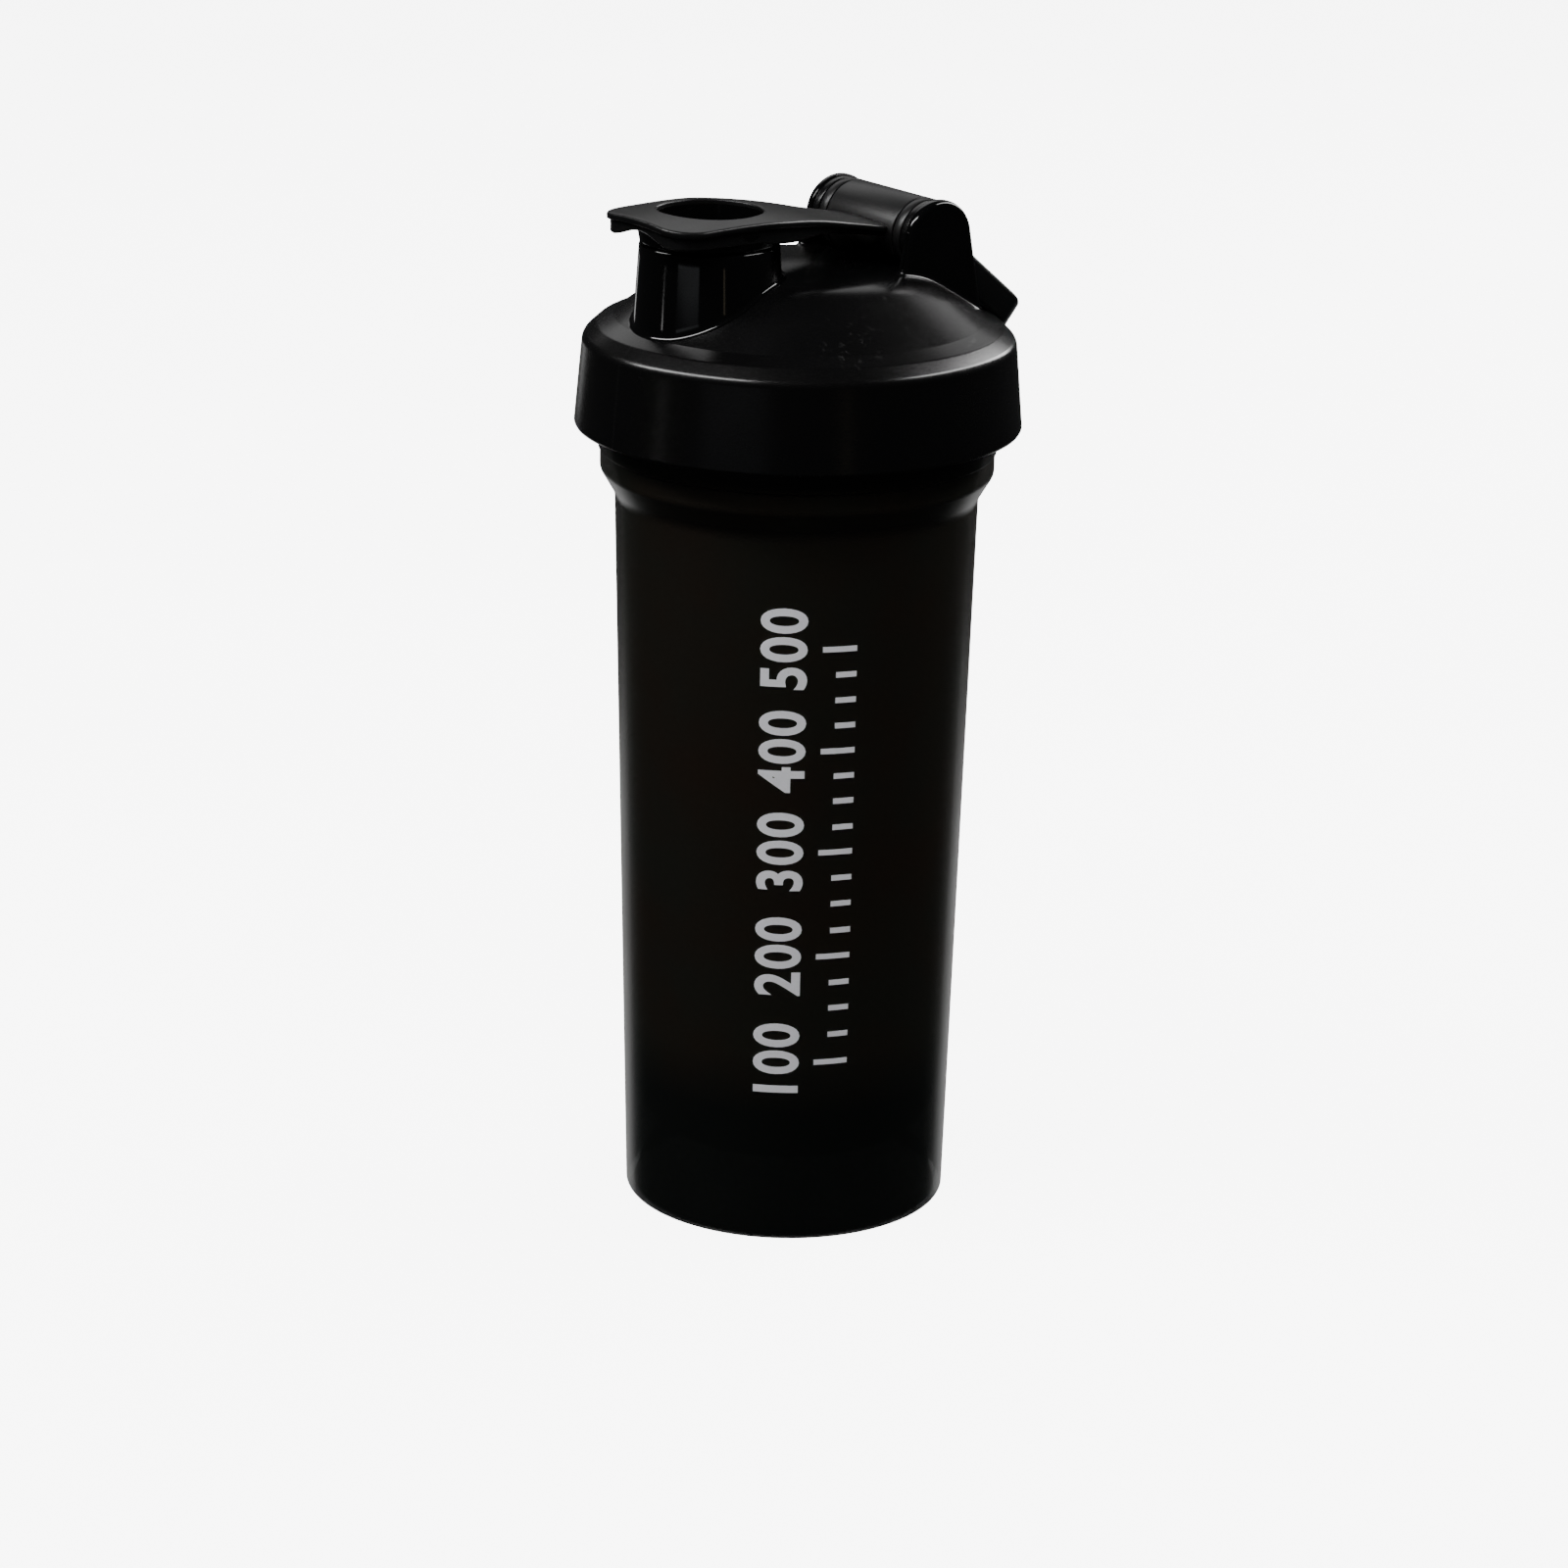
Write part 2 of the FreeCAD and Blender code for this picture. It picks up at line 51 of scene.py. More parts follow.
def makeCamera(place):
    pitch, yaw, roll = (radians(place[k]) for k in ("pitch", "yaw", "roll"))
    ahead = Vector((sin(yaw) * cos(pitch), cos(yaw) * cos(pitch), -sin(pitch)))
    right = Vector((cos(yaw), -sin(yaw), 0))
    up = right.cross(ahead)
    tiltedRight = right * cos(roll) + up * sin(roll)
    tiltedUp = up * cos(roll) - right * sin(roll)
    axes = Matrix((tiltedRight, tiltedUp, -ahead)).transposed()
    turn = Matrix.Rotation(facing, 3, "Z")
    data = bpy.data.cameras.new("studioCamera")
    data.lens = place["lens"]
    data.sensor_width = place["sensor"]
    data.clip_end = place["clipEnd"]
    camera = bpy.data.objects.new("studioCamera", data)
    camera.matrix_world = (turn @ axes).to_4x4()
    camera.location = turn @ Vector((0, -place["distance"] * mm, place["height"] * mm))
    bpy.context.scene.collection.objects.link(camera)
    bpy.context.scene.camera = camera


makeCamera(cameraPlace)

# Each strip runs between two directions seen from the aim point, as bearing and elevation
# in degrees. Bearings turn from the camera's side towards its right. Then come its distance,
# width, brightness, colour, and whether it shows in reflections.
lightAim = (0, 0, 0.17)
studioLights = {
    "leftShoulder": ((-30, 56), (-104, 26), 1.3, 0.20, 18.0, (1, 1, 1), True),
    "rightShoulder": ((66, 50), (150, 6), 1.3, 0.20, 14.0, (1, 1, 1), True),
    "backdropGlow": ((138, 26), (-138, 26), 1.9, 0.85, 0.8, (1, 1, 1), True),
    "leftEdge": ((-142, -25), (-174, -25), 1.6, 0.34, 0.9, (1, 1, 1), True),
    "rightEdge": ((142, -25), (174, -25), 1.6, 0.34, 0.9, (1, 1, 1), True),
    "spoutStrip": ((-73, -6.2), (-73, -4.7), 1.4, 0.045, 5.0, (1, 1, 1), True),
    "spoutEdge": ((-150, -9.5), (-158, -9.5), 1.6, 0.08, 0.9, (1, 1, 1), True),
    "warmStrip": ((24, -5.6), (24, -2.0), 1.4, 0.04, 0.9, (1, 0.85, 0.6), True),
    "windowGlow": ((-50, -2.2), (-14, -2.2), 1.5, 0.06, 0.40, (0.92, 0.96, 1), True),
    "frontFill": ((-50, 42), (50, 42), 1.5, 0.90, 4.6, (1, 1, 1), False),
}


def direction(bearing, elevation):
    around = facing + radians(bearing)
    flat = cos(radians(elevation))
    return Vector((flat * sin(around), -flat * cos(around), sin(radians(elevation))))


def makeLights(lights):
    for name, (start, end, distance, width, glow, colour, mirrored) in lights.items():
        first, last = (direction(*way) * distance for way in (start, end))
        middle = (first + last).normalized() * distance
        along = (last - first).normalized()
        back = (middle - along * middle.dot(along)).normalized()
        data = bpy.data.lights.new(name, "AREA")
        data.shape = "RECTANGLE"
        data.size, data.size_y = (last - first).length, width
        data.energy = glow * data.size * width * pi
        data.color = colour
        lamp = bpy.data.objects.new(name, data)
        lamp.matrix_world = Matrix((along, back.cross(along), back)).transposed().to_4x4()
        lamp.location = Vector(lightAim) + middle
        lamp.visible_camera = False
        lamp.visible_glossy = mirrored
        bpy.context.scene.collection.objects.link(lamp)


makeLights(studioLights)

studioAir = {"colour": (0.95, 0.97, 1.0, 1), "strength": 0.02}
world = bpy.data.worlds.new("studioAir")
world.use_nodes = True
world.node_tree.nodes["Background"].inputs["Color"].default_value = studioAir["colour"]
world.node_tree.nodes["Background"].inputs["Strength"].default_value = studioAir["strength"]
bpy.context.scene.world = world
print("stage 2: camera and lights set")


class Sum:
    # a shader socket that can stand in a sum

    def __init__(self, tree, socket):
        self.tree = tree
        self.socket = socket

    def math(self, operation, *terms):
        node = self.tree.nodes.new("ShaderNodeMath")
        node.operation = operation
        for socket, term in zip(node.inputs, terms):
            if isinstance(term, Sum):
                self.tree.links.new(term.socket, socket)
            else:
                socket.default_value = term
        return Sum(self.tree, node.outputs[0])

    def __add__(self, other):
        return self.math("ADD", self, other)

    def __sub__(self, other):
        return self.math("SUBTRACT", self, other)

    def __mul__(self, other):
        return self.math("MULTIPLY", self, other)

    def __abs__(self):
        return self.math("ABSOLUTE", self)

    __radd__ = __add__
    __rmul__ = __mul__

    def fade(self, edge, soft, low, high):
        # from low at the edge to high past the soft width
        return addNode(self.tree, "ShaderNodeMapRange", inputs={
            "Value": self, "From Min": edge, "From Max": edge + soft,
            "To Min": low, "To Max": high})

    def under(self, edge, soft):
        return self.fade(edge, soft, 1.0, 0.0)

    def over(self, edge, soft):
        return self.fade(edge, soft, 0.0, 1.0)


def addNode(tree, kind, settings=None, inputs=None, output=0):
    node = tree.nodes.new(kind)
    for key, value in (settings or {}).items():
        setattr(node, key, value)
    for key, value in (inputs or {}).items():
        if isinstance(value, Sum):
            tree.links.new(value.socket, node.inputs[key])
        else:
            node.inputs[key].default_value = value
    return Sum(tree, node.outputs[output])


class Finish:
    # one material: the principled shader, and the parts its sums start from

    def __init__(self, name, **constants):
        self.material = bpy.data.materials.new(name)
        self.material.use_nodes = True
        self.tree = self.material.node_tree
        self.shader = self.tree.nodes["Principled BSDF"]
        for key, value in constants.items():
            self.shader.inputs[key.replace("_", " ")].default_value = value
        self.place = self.node("ShaderNodeTexCoord", output="Object")
        split = self.node("ShaderNodeSeparateXYZ", inputs={"Vector": self.place})
        owner = split.socket.node
        self.x, self.y, self.z = (Sum(self.tree, owner.outputs[i]) for i in range(3))

    def node(self, kind, settings=None, inputs=None, output=0):
        return addNode(self.tree, kind, settings, inputs, output)

    def noise(self, scale, detail=3.0, roughness=0.55, stretch=(1, 1, 1), turn=(0, 0, 0)):
        place = self.node("ShaderNodeMapping", inputs={
            "Vector": self.place, "Scale": stretch, "Rotation": turn})
        return self.node("ShaderNodeTexNoise", inputs={
            "Vector": place, "Scale": scale, "Detail": detail, "Roughness": roughness})

    def blendColour(self, first, second, factor):
        mix = self.tree.nodes.new("ShaderNodeMix")
        mix.data_type = "RGBA"
        for index, value in ((0, factor), (6, first), (7, second)):
            if isinstance(value, Sum):
                self.tree.links.new(value.socket, mix.inputs[index])
            else:
                mix.inputs[index].default_value = value
        return Sum(self.tree, mix.outputs[2])

    def near(self, centre, radius, soft):
        # 1 inside a ball about a point given in millimetres
        middle = [c * mm for c in centre]
        away = self.node("ShaderNodeVectorMath", {"operation": "DISTANCE"},
                         {0: self.place, 1: middle}, output="Value")
        return away.under((radius - soft) * mm, soft * mm)

    def feed(self, **values):
        for key, value in values.items():
            self.tree.links.new(value.socket, self.shader.inputs[key.replace("_", " ")])

    def bump(self, height, depth, strength=1.0):
        # depth is the height of the relief in millimetres
        self.feed(Normal=self.node("ShaderNodeBump", inputs={
            "Height": height, "Distance": depth * mm, "Strength": strength}))


lidPlastic = {"colour": (0.0022, 0.0022, 0.0023, 1), "worn": (0.03, 0.03, 0.03, 1),
              "roughness": 0.24, "grainScale": 1500, "mottleScale": 45, "rubScale": 260,
              "scratchScale": 420, "fineScale": 900, "grainDepth": 0.005,
              "scuffPlaces": ((30, 4, 208, 14), (34, -12, 200, 12), (40, 18, 198, 11)),
              "scuffSoft": 0.6, "partingWidth": 0.16, "partingFront": -30, "partingFade": 10}


def makeLidPlastic(spec):
    made = Finish("satinLidPlastic", Specular_IOR_Level=0.5, IOR=1.5)
    grain = made.noise(spec["grainScale"], 4.0, 0.6)
    mottle = made.noise(spec["mottleScale"], 3.0)
    rubs = made.noise(spec["rubScale"], 5.0, 0.65).over(0.42, 0.2)
    scratches = made.noise(spec["scratchScale"], 4.0, 0.7, (1, 1, 0.10), (0.5, 0.25, 0.3))
    fine = made.noise(spec["fineScale"], 2.0, 0.5, (0.12, 1, 1), (0.1, 0.4, 0.7))
    lines = scratches.over(0.60, 0.05)
    lines = lines.math("MAXIMUM", lines, fine.over(0.66, 0.04))
    patches = [made.near(spot[:3], spot[3], spot[3] * spec["scuffSoft"])
               for spot in spec["scuffPlaces"]]
    patch = patches[0]
    for other in patches[1:]:
        patch = patch.math("MAXIMUM", patch, other)
    wear = patch * lines * rubs
    front = made.y.under(spec["partingFront"] * mm, spec["partingFade"] * mm)
    parting = abs(made.x).under(0, spec["partingWidth"] * mm) * front
    marks = wear * 0.8 + parting * 0.25
    marks = marks.math("MINIMUM", marks, 1.0)
    made.feed(Base_Color=made.blendColour(spec["colour"], spec["worn"], marks))
    made.feed(Roughness=(spec["roughness"] + (mottle - 0.5) * 0.16 + (grain - 0.5) * 0.10
                         - wear * 0.12))
    made.bump(grain * 0.7 + mottle * 0.2 + parting * 1.5 + wear * 1.2, spec["grainDepth"])
    return made.material


glossPlastic = {"colour": (0.0018, 0.0018, 0.0019, 1), "dust": (0.03, 0.03, 0.03, 1),
                "roughness": 0.08, "flowScale": 70, "dustScale": 2600, "smearScale": 120,
                "waveDepth": 0.02}


def makeGlossPlastic(spec):
    made = Finish("glossSpoutPlastic", IOR=1.5)
    flow = made.noise(spec["flowScale"], 2.0, 0.5, (1, 1, 0.35))
    dust = made.noise(spec["dustScale"], 2.0, 0.6).over(0.70, 0.06)
    smear = made.noise(spec["smearScale"], 4.0, 0.6)
    made.feed(Base_Color=made.blendColour(spec["colour"], spec["dust"], dust * 0.35))
    made.feed(Roughness=spec["roughness"] + (smear - 0.5) * 0.08 + dust * 0.15)
    made.bump(flow + dust * 0.05, spec["waveDepth"])
    return made.material


capPlastic = {"colour": (0.004, 0.004, 0.0041, 1), "worn": (0.03, 0.03, 0.03, 1),
              "roughness": 0.36, "grainScale": 1900, "mottleScale": 60, "hairScale": 500,
              "rubScale": 90, "grainDepth": 0.009}


def makeCapPlastic(spec):
    made = Finish("satinCapPlastic", IOR=1.5)
    grain = made.noise(spec["grainScale"], 4.0, 0.6)
    mottle = made.noise(spec["mottleScale"], 3.0)
    hairs = made.noise(spec["hairScale"], 3.0, 0.6, (0.15, 1, 1), (0, 0, 0.5)).over(0.66, 0.05)
    rubbed = made.noise(spec["rubScale"], 4.0, 0.6).over(0.52, 0.2)
    wear = hairs * rubbed
    made.feed(Base_Color=made.blendColour(spec["colour"], spec["worn"], wear * 0.6))
    made.feed(Roughness=(spec["roughness"] + (mottle - 0.5) * 0.14 + (grain - 0.5) * 0.08
                         - wear * 0.1))
    made.bump(grain * 0.8 + wear * 0.6, spec["grainDepth"])
    return made.material


smokePlastic = {"colour": (0.0098, 0.0096, 0.0074, 1), "warm": (0.0118, 0.0078, 0.0052, 1),
                "low": (0.0034, 0.0040, 0.0037, 1), "roughness": 0.34, "alpha": 0.97,
                "cloudScale": 30, "flowScale": 55, "peelScale": 420, "rubScale": 700,
                "waveDepth": 0.05, "footLevel": 30, "footSoft": 14}


def makeSmokePlastic(spec):
    made = Finish("smokeCupPlastic", IOR=1.49)
    cloud = made.noise(spec["cloudScale"], 3.0)
    flow = made.noise(spec["flowScale"], 3.0, 0.5, (1, 1, 0.2))
    peel = made.noise(spec["peelScale"], 3.0, 0.5)
    rubs = made.noise(spec["rubScale"], 3.0, 0.6, (0.2, 1, 1), (0.2, 0.1, 0.6)).over(0.68, 0.05)
    body = made.blendColour(spec["colour"], spec["warm"], cloud.over(0.4, 0.3))
    foot = made.z.under(spec["footLevel"] * mm, spec["footSoft"] * mm)
    made.feed(Base_Color=made.blendColour(body, spec["low"], foot))
    made.feed(Roughness=(spec["roughness"] + (cloud - 0.5) * 0.10 + (flow - 0.5) * 0.06
                         - rubs * 0.04))
    made.feed(Alpha=spec["alpha"] + foot * 0.02 + (flow - 0.5) * 0.01)
    made.bump(flow * 0.8 + peel * 0.08 + rubs * 0.05, spec["waveDepth"])
    return made.material


printInk = {"colour": (0.86, 0.86, 0.90, 1), "thin": (0.70, 0.70, 0.73, 1), "roughness": 0.55,
            "speckScale": 3200, "patchScale": 300, "depth": 0.01}


def makePrintInk(spec):
    made = Finish("volumePrintInk", IOR=1.45)
    speck = made.noise(spec["speckScale"], 3.0, 0.6)
    patch = made.noise(spec["patchScale"], 3.0, 0.6)
    thin = speck.over(0.56, 0.2) * 0.7 + patch.over(0.55, 0.3) * 0.3
    made.feed(Base_Color=made.blendColour(spec["colour"], spec["thin"], thin))
    made.feed(Roughness=spec["roughness"] + (speck - 0.5) * 0.2)
    made.bump(speck, spec["depth"])
    return made.material


sealRubber = {"colour": (0.045, 0.045, 0.046, 1), "dusty": (0.09, 0.09, 0.088, 1),
              "roughness": 0.72, "grainScale": 2200, "bloomScale": 180, "depth": 0.02}


def makeSealRubber(spec):
    made = Finish("softSealRubber", IOR=1.45)
    grain = made.noise(spec["grainScale"], 4.0, 0.65)
    bloom = made.noise(spec["bloomScale"], 3.0).over(0.5, 0.3)
    made.feed(Base_Color=made.blendColour(spec["colour"], spec["dusty"], bloom * 0.6))
    made.feed(Roughness=spec["roughness"] + (grain - 0.5) * 0.2)
    made.bump(grain, spec["depth"])
    return made.material


wireSteel = {"colour": (0.55, 0.55, 0.57, 1), "dull": (0.36, 0.36, 0.37, 1), "roughness": 0.22,
             "lineScale": 1400, "stainScale": 120, "depth": 0.01}


def makeWireSteel(spec):
    made = Finish("drawnSteelWire", Metallic=1.0)
    lines = made.noise(spec["lineScale"], 3.0, 0.6, (1, 0.1, 1), (0.3, 0.2, 0.6))
    stain = made.noise(spec["stainScale"], 3.0)
    made.feed(Base_Color=made.blendColour(spec["colour"], spec["dull"], stain.over(0.45, 0.3)))
    made.feed(Roughness=spec["roughness"] + (lines - 0.5) * 0.25 + (stain - 0.5) * 0.1)
    made.bump(lines, spec["depth"])
    return made.material


# in metres
paleFloor = {"colour": (0.94, 0.94, 0.94, 1), "shade": (0.89, 0.89, 0.89, 1), "glow": 7.5,
             "cloudScale": 6, "size": 8.0, "wall": 7.0}


def makeFloor(spec):
    made = Finish("paleFloor", Roughness=0.8, Emission_Strength=spec["glow"])
    cloud = made.noise(spec["cloudScale"], 2.0)
    tone = made.blendColour(spec["colour"], spec["shade"], cloud)
    made.feed(Base_Color=tone, Emission_Color=tone)
    half = spec["size"] / 2
    rim = [(-half, -half), (half, -half), (half, half), (-half, half)]
    points = [(x, y, z) for z in (0, spec["wall"]) for x, y in rim]
    mesh = bpy.data.meshes.new("floor")
    walls = [(k, k + 4, (k + 1) % 4 + 4, (k + 1) % 4) for k in range(4)]
    mesh.from_pydata(points, [], [(0, 1, 2, 3)] + walls)
    mesh.materials.append(made.material)
    floor = bpy.data.objects.new("floor", mesh)
    bpy.context.scene.collection.objects.link(floor)
    floor.visible_glossy = False
    floor.visible_diffuse = False
    floor.visible_shadow = False


makeFloor(paleFloor)
satinLid = makeLidPlastic(lidPlastic)
glossLid = makeGlossPlastic(glossPlastic)
satinCap = makeCapPlastic(capPlastic)
smokeCup = makeSmokePlastic(smokePlastic)
inkGrey = makePrintInk(printInk)
softSeal = makeSealRubber(sealRubber)
steelWire = makeWireSteel(wireSteel)
print("stage 3: materials made")


def roundedPath(corners, closed=True, steps=8):
    # corners are (u, v, radius); returns points with an arc in place of each rounded corner
    points = []
    count = len(corners)
    for i, (u, v, radius) in enumerate(corners):
        here = Vector((u, v))
        if radius == 0 or (not closed and i in (0, count - 1)):
            points.append((u, v))
            continue
        before = Vector(corners[i - 1][:2]) - here
        after = Vector(corners[(i + 1) % count][:2]) - here
        half = before.angle(after) / 2
        reach = min(radius / tan(half), 0.49 * before.length, 0.49 * after.length)
        radius = reach * tan(half)
        way = (before.normalized() + after.normalized()).normalized()
        centre = here + way * (radius / sin(half))
        start = here + before.normalized() * reach - centre
        end = here + after.normalized() * reach - centre
        turn = atan2(start.x * end.y - start.y * end.x, start.dot(end))
        for k in range(steps + 1):
            part = turn * k / steps
            points.append((centre.x + start.x * cos(part) - start.y * sin(part),
                           centre.y + start.x * sin(part) + start.y * cos(part)))
    return points


def evenly(points, gap, closed=True):
    # the same path with points added so that none are further apart than the gap
    spaced = []
    ends = points[1:] + points[:1] if closed else points[1:]
    for (u, v), (s, t) in zip(points, ends):
        parts = max(1, round(hypot(s - u, t - v) / gap))
        spaced += [(u + (s - u) * k / parts, v + (t - v) * k / parts) for k in range(parts)]
    return spaced if closed else spaced + [points[-1]]


def skin(rings, wrap=False):
    # faces between neighbouring rings of equal length
    size = len(rings[0])
    points = [p for ring in rings for p in ring]
    faces = []
    last = len(rings) if wrap else len(rings) - 1
    for i in range(last):
        low, high = i * size, (i + 1) % len(rings) * size
        faces += [(low + k, low + (k + 1) % size, high + (k + 1) % size, high + k)
                  for k in range(size)]
    if not wrap:
        faces.append(tuple(range(size))[::-1])
        faces.append(tuple(range(len(points) - size, len(points))))
    return points, faces


def spun(profile, segments=224, centre=(0, 0)):
    # a closed outline of (radius, height) turned about a vertical axis
    rings = []
    for radius, height in profile:
        ring = []
        for k in range(segments):
            angle = 2 * pi * k / segments
            ring.append((centre[0] + radius * cos(angle), centre[1] + radius * sin(angle), height))
        rings.append(ring)
    return skin(rings, wrap=True)


def inset(outline, amount):
    # a closed outline that runs anticlockwise, pulled in by the amount
    pulled = []
    count = len(outline)
    for i, (u, v) in enumerate(outline):
        back = Vector((u - outline[i - 1][0], v - outline[i - 1][1])).normalized()
        on = Vector((outline[(i + 1) % count][0] - u, outline[(i + 1) % count][1] - v)).normalized()
        normal = Vector((-back.y - on.y, back.x + on.x)).normalized()
        stretch = amount / max(0.5, normal.dot(Vector((-on.y, on.x))))
        pulled.append((u + normal.x * stretch, v + normal.y * stretch))
    return pulled


def roundedPlate(outline, low, high, lowRadius, highRadius, place, steps=5):
    # a slab in the shape of the outline between two depths, with rolled edges
    layers = []
    for k in range(steps + 1):
        angle = pi / 2 * k / steps
        layers.append((lowRadius * (1 - sin(angle)), low + lowRadius * (1 - cos(angle))))
    for k in range(steps + 1):
        angle = pi / 2 * (1 - k / steps)
        layers.append((highRadius * (1 - sin(angle)), high - highRadius * (1 - cos(angle))))
    rings = [[place(u, v, depth) for u, v in inset(outline, amount)] for amount, depth in layers]
    return skin(rings)


def circle(radius, centre=(0, 0), count=96):
    return [(centre[0] + radius * cos(2 * pi * k / count),
             centre[1] + radius * sin(2 * pi * k / count)) for k in range(count)]


def makeMesh(name, shells):
    # shells are (points in millimetres, faces, material); each is closed
    materials = []
    merged = bmesh.new()
    for points, faces, material in shells:
        if material not in materials:
            materials.append(material)
        part = bmesh.new()
        corners = [part.verts.new((x * mm, y * mm, z * mm)) for x, y, z in points]
        for face in faces:
            part.faces.new([corners[i] for i in face])
        bmesh.ops.remove_doubles(part, verts=part.verts, dist=0.002 * mm)
        bmesh.ops.dissolve_degenerate(part, edges=part.edges, dist=0.001 * mm)
        bmesh.ops.recalc_face_normals(part, faces=part.faces)
        for face in part.faces:
            face.material_index = materials.index(material)
        shell = bpy.data.meshes.new("shell")
        part.to_mesh(shell)
        part.free()
        merged.from_mesh(shell)
        bpy.data.meshes.remove(shell)
    mesh = bpy.data.meshes.new(name)
    merged.to_mesh(mesh)
    merged.free()
    for material in materials:
        mesh.materials.append(material)
    smoothMesh(mesh)
    made = bpy.data.objects.new(name, mesh)
    bpy.context.scene.collection.objects.link(made)
    return made


def smoothMesh(mesh, angle=38):
    mesh.shade_smooth()
    mesh.set_sharp_from_angle(angle=radians(angle))


def carve(made, tools):
    # cut tools out of a piece, then keep the result as its own plain mesh
    for tool in tools:
        cutter = made.modifiers.new("cut", "BOOLEAN")
        cutter.operation = "DIFFERENCE"
        cutter.solver = "EXACT"
        cutter.object = tool
    evaluated = made.evaluated_get(bpy.context.evaluated_depsgraph_get())
    mesh = bpy.data.meshes.new_from_object(evaluated)
    made.modifiers.clear()
    made.data = mesh
    smoothMesh(mesh)
    for tool in tools:
        bpy.data.objects.remove(tool)
    return made


def alongX(u, v, depth):
    return (depth, u, v)


def upright(u, v, depth):
    return (u, v, depth)


def newTree(name, labels, build):
    # a geometry node tree with a number input for each label and a material input; build
    # takes the given sockets and a way to add nodes, and returns the geometry to keep
    tree = bpy.data.node_groups.new(name, "GeometryNodeTree")
    tree.interface.new_socket("Geometry", in_out="INPUT", socket_type="NodeSocketGeometry")
    for label in labels:
        tree.interface.new_socket(label, in_out="INPUT", socket_type="NodeSocketFloat")
    tree.interface.new_socket("Finish", in_out="INPUT", socket_type="NodeSocketMaterial")
    tree.interface.new_socket("Geometry", in_out="OUTPUT", socket_type="NodeSocketGeometry")
    given = tree.nodes.new("NodeGroupInput").outputs
    end = tree.nodes.new("NodeGroupOutput")

    def step(kind, links, **settings):
        node = tree.nodes.new(kind)
        for key, value in settings.items():
            setattr(node, key, value)
        for key, source in links.items():
            if hasattr(source, "is_output"):
                tree.links.new(source, node.inputs[key])
            else:
                node.inputs[key].default_value = source
        return node

    solid = step("GeometryNodeRealizeInstances", {"Geometry": build(given, step)})
    coated = step("GeometryNodeSetMaterial", {
        "Geometry": solid.outputs[0], "Material": given["Finish"]})
    tree.links.new(coated.outputs[0], end.inputs[0])
    return tree


def runTree(name, tree, values, points=()):
    # run a tree on these points with its named inputs set, and keep a plain mesh
    holder = bpy.data.objects.new(name, bpy.data.meshes.new(name))
    holder.data.from_pydata(points, [], [])
    bpy.context.scene.collection.objects.link(holder)
    modifier = holder.modifiers.new(name, "NODES")
    modifier.node_group = tree
    for item in tree.interface.items_tree:
        if item.in_out == "INPUT" and item.name in values:
            modifier[item.identifier] = values[item.name]
    evaluated = holder.evaluated_get(bpy.context.evaluated_depsgraph_get())
    mesh = bpy.data.meshes.new_from_object(evaluated)
    holder.modifiers.clear()
    holder.data = mesh
    smoothMesh(mesh)
    return holder


threadSizes = {"pitch": 5.0, "turns": 1.25, "pointsPerTurn": 160, "crest": 0.45,
               "runOut": 0.06, "endScale": 0.05}


def buildThread(given, step):
    s = threadSizes
    rise = step("ShaderNodeMath", {0: given["Pitch"], 1: given["Turns"]}, operation="MULTIPLY")
    spiral = step("GeometryNodeCurveSpiral", {
        "Resolution": s["pointsPerTurn"], "Rotations": given["Turns"],
        "Start Radius": given["Radius"], "End Radius": given["Radius"],
        "Height": rise.outputs[0], "Reverse": True})
    lift = step("ShaderNodeCombineXYZ", {"Z": given["Level"]})
    placed = step("GeometryNodeTransform", {
        "Geometry": spiral.outputs["Curve"], "Translation": lift.outputs[0]})
    along = step("GeometryNodeSplineParameter", {})
    taper = step("ShaderNodeFloatCurve", {"Value": along.outputs["Factor"]})
    points = taper.mapping.curves[0].points
    points[0].location = (0, s["endScale"])
    points[1].location = (1, s["endScale"])
    points.new(s["runOut"], 1)
    points.new(1 - s["runOut"], 1)
    thick = step("GeometryNodeSetCurveRadius", {
        "Curve": placed.outputs[0], "Radius": taper.outputs["Value"]})
    crest = step("ShaderNodeMath", {0: given["Half height"], 1: s["crest"]}, operation="MULTIPLY")
    section = step("GeometryNodeCurvePrimitiveQuadrilateral", {
        "Bottom Width": given["Half height"], "Top Width": crest.outputs[0],
        "Height": given["Depth"], "Offset": 0.0}, mode="TRAPEZOID")
    ridge = step("GeometryNodeCurveToMesh", {
        "Curve": thick.outputs[0], "Profile Curve": section.outputs[0], "Fill Caps": True})
    return ridge.outputs[0]


ridgeTree = newTree("threadRidge", (
    "Radius", "Pitch", "Turns", "Level", "Half height", "Depth"), buildThread)


def makeRidge(name, finish, radius, level, halfHeight, depth):
    return runTree(name, ridgeTree, {
        "Radius": radius * mm, "Pitch": threadSizes["pitch"] * mm, "Turns": threadSizes["turns"],
        "Level": level * mm, "Half height": halfHeight * mm, "Depth": depth * mm,
        "Finish": finish})


def absorb(made, extra):
    # add another object's mesh to a piece, with its materials
    for material in extra.data.materials:
        if material.name not in made.data.materials:
            made.data.materials.append(material)
    names = [m.name for m in made.data.materials]
    wanted = [names.index(m.name) for m in extra.data.materials]
    joined = bmesh.new()
    joined.from_mesh(made.data)
    before = len(joined.faces)
    joined.from_mesh(extra.data)
    joined.faces.ensure_lookup_table()
    for face in joined.faces[before:]:
        face.material_index = wanted[face.material_index]
    joined.to_mesh(made.data)
    joined.free()
    bpy.data.objects.remove(extra)


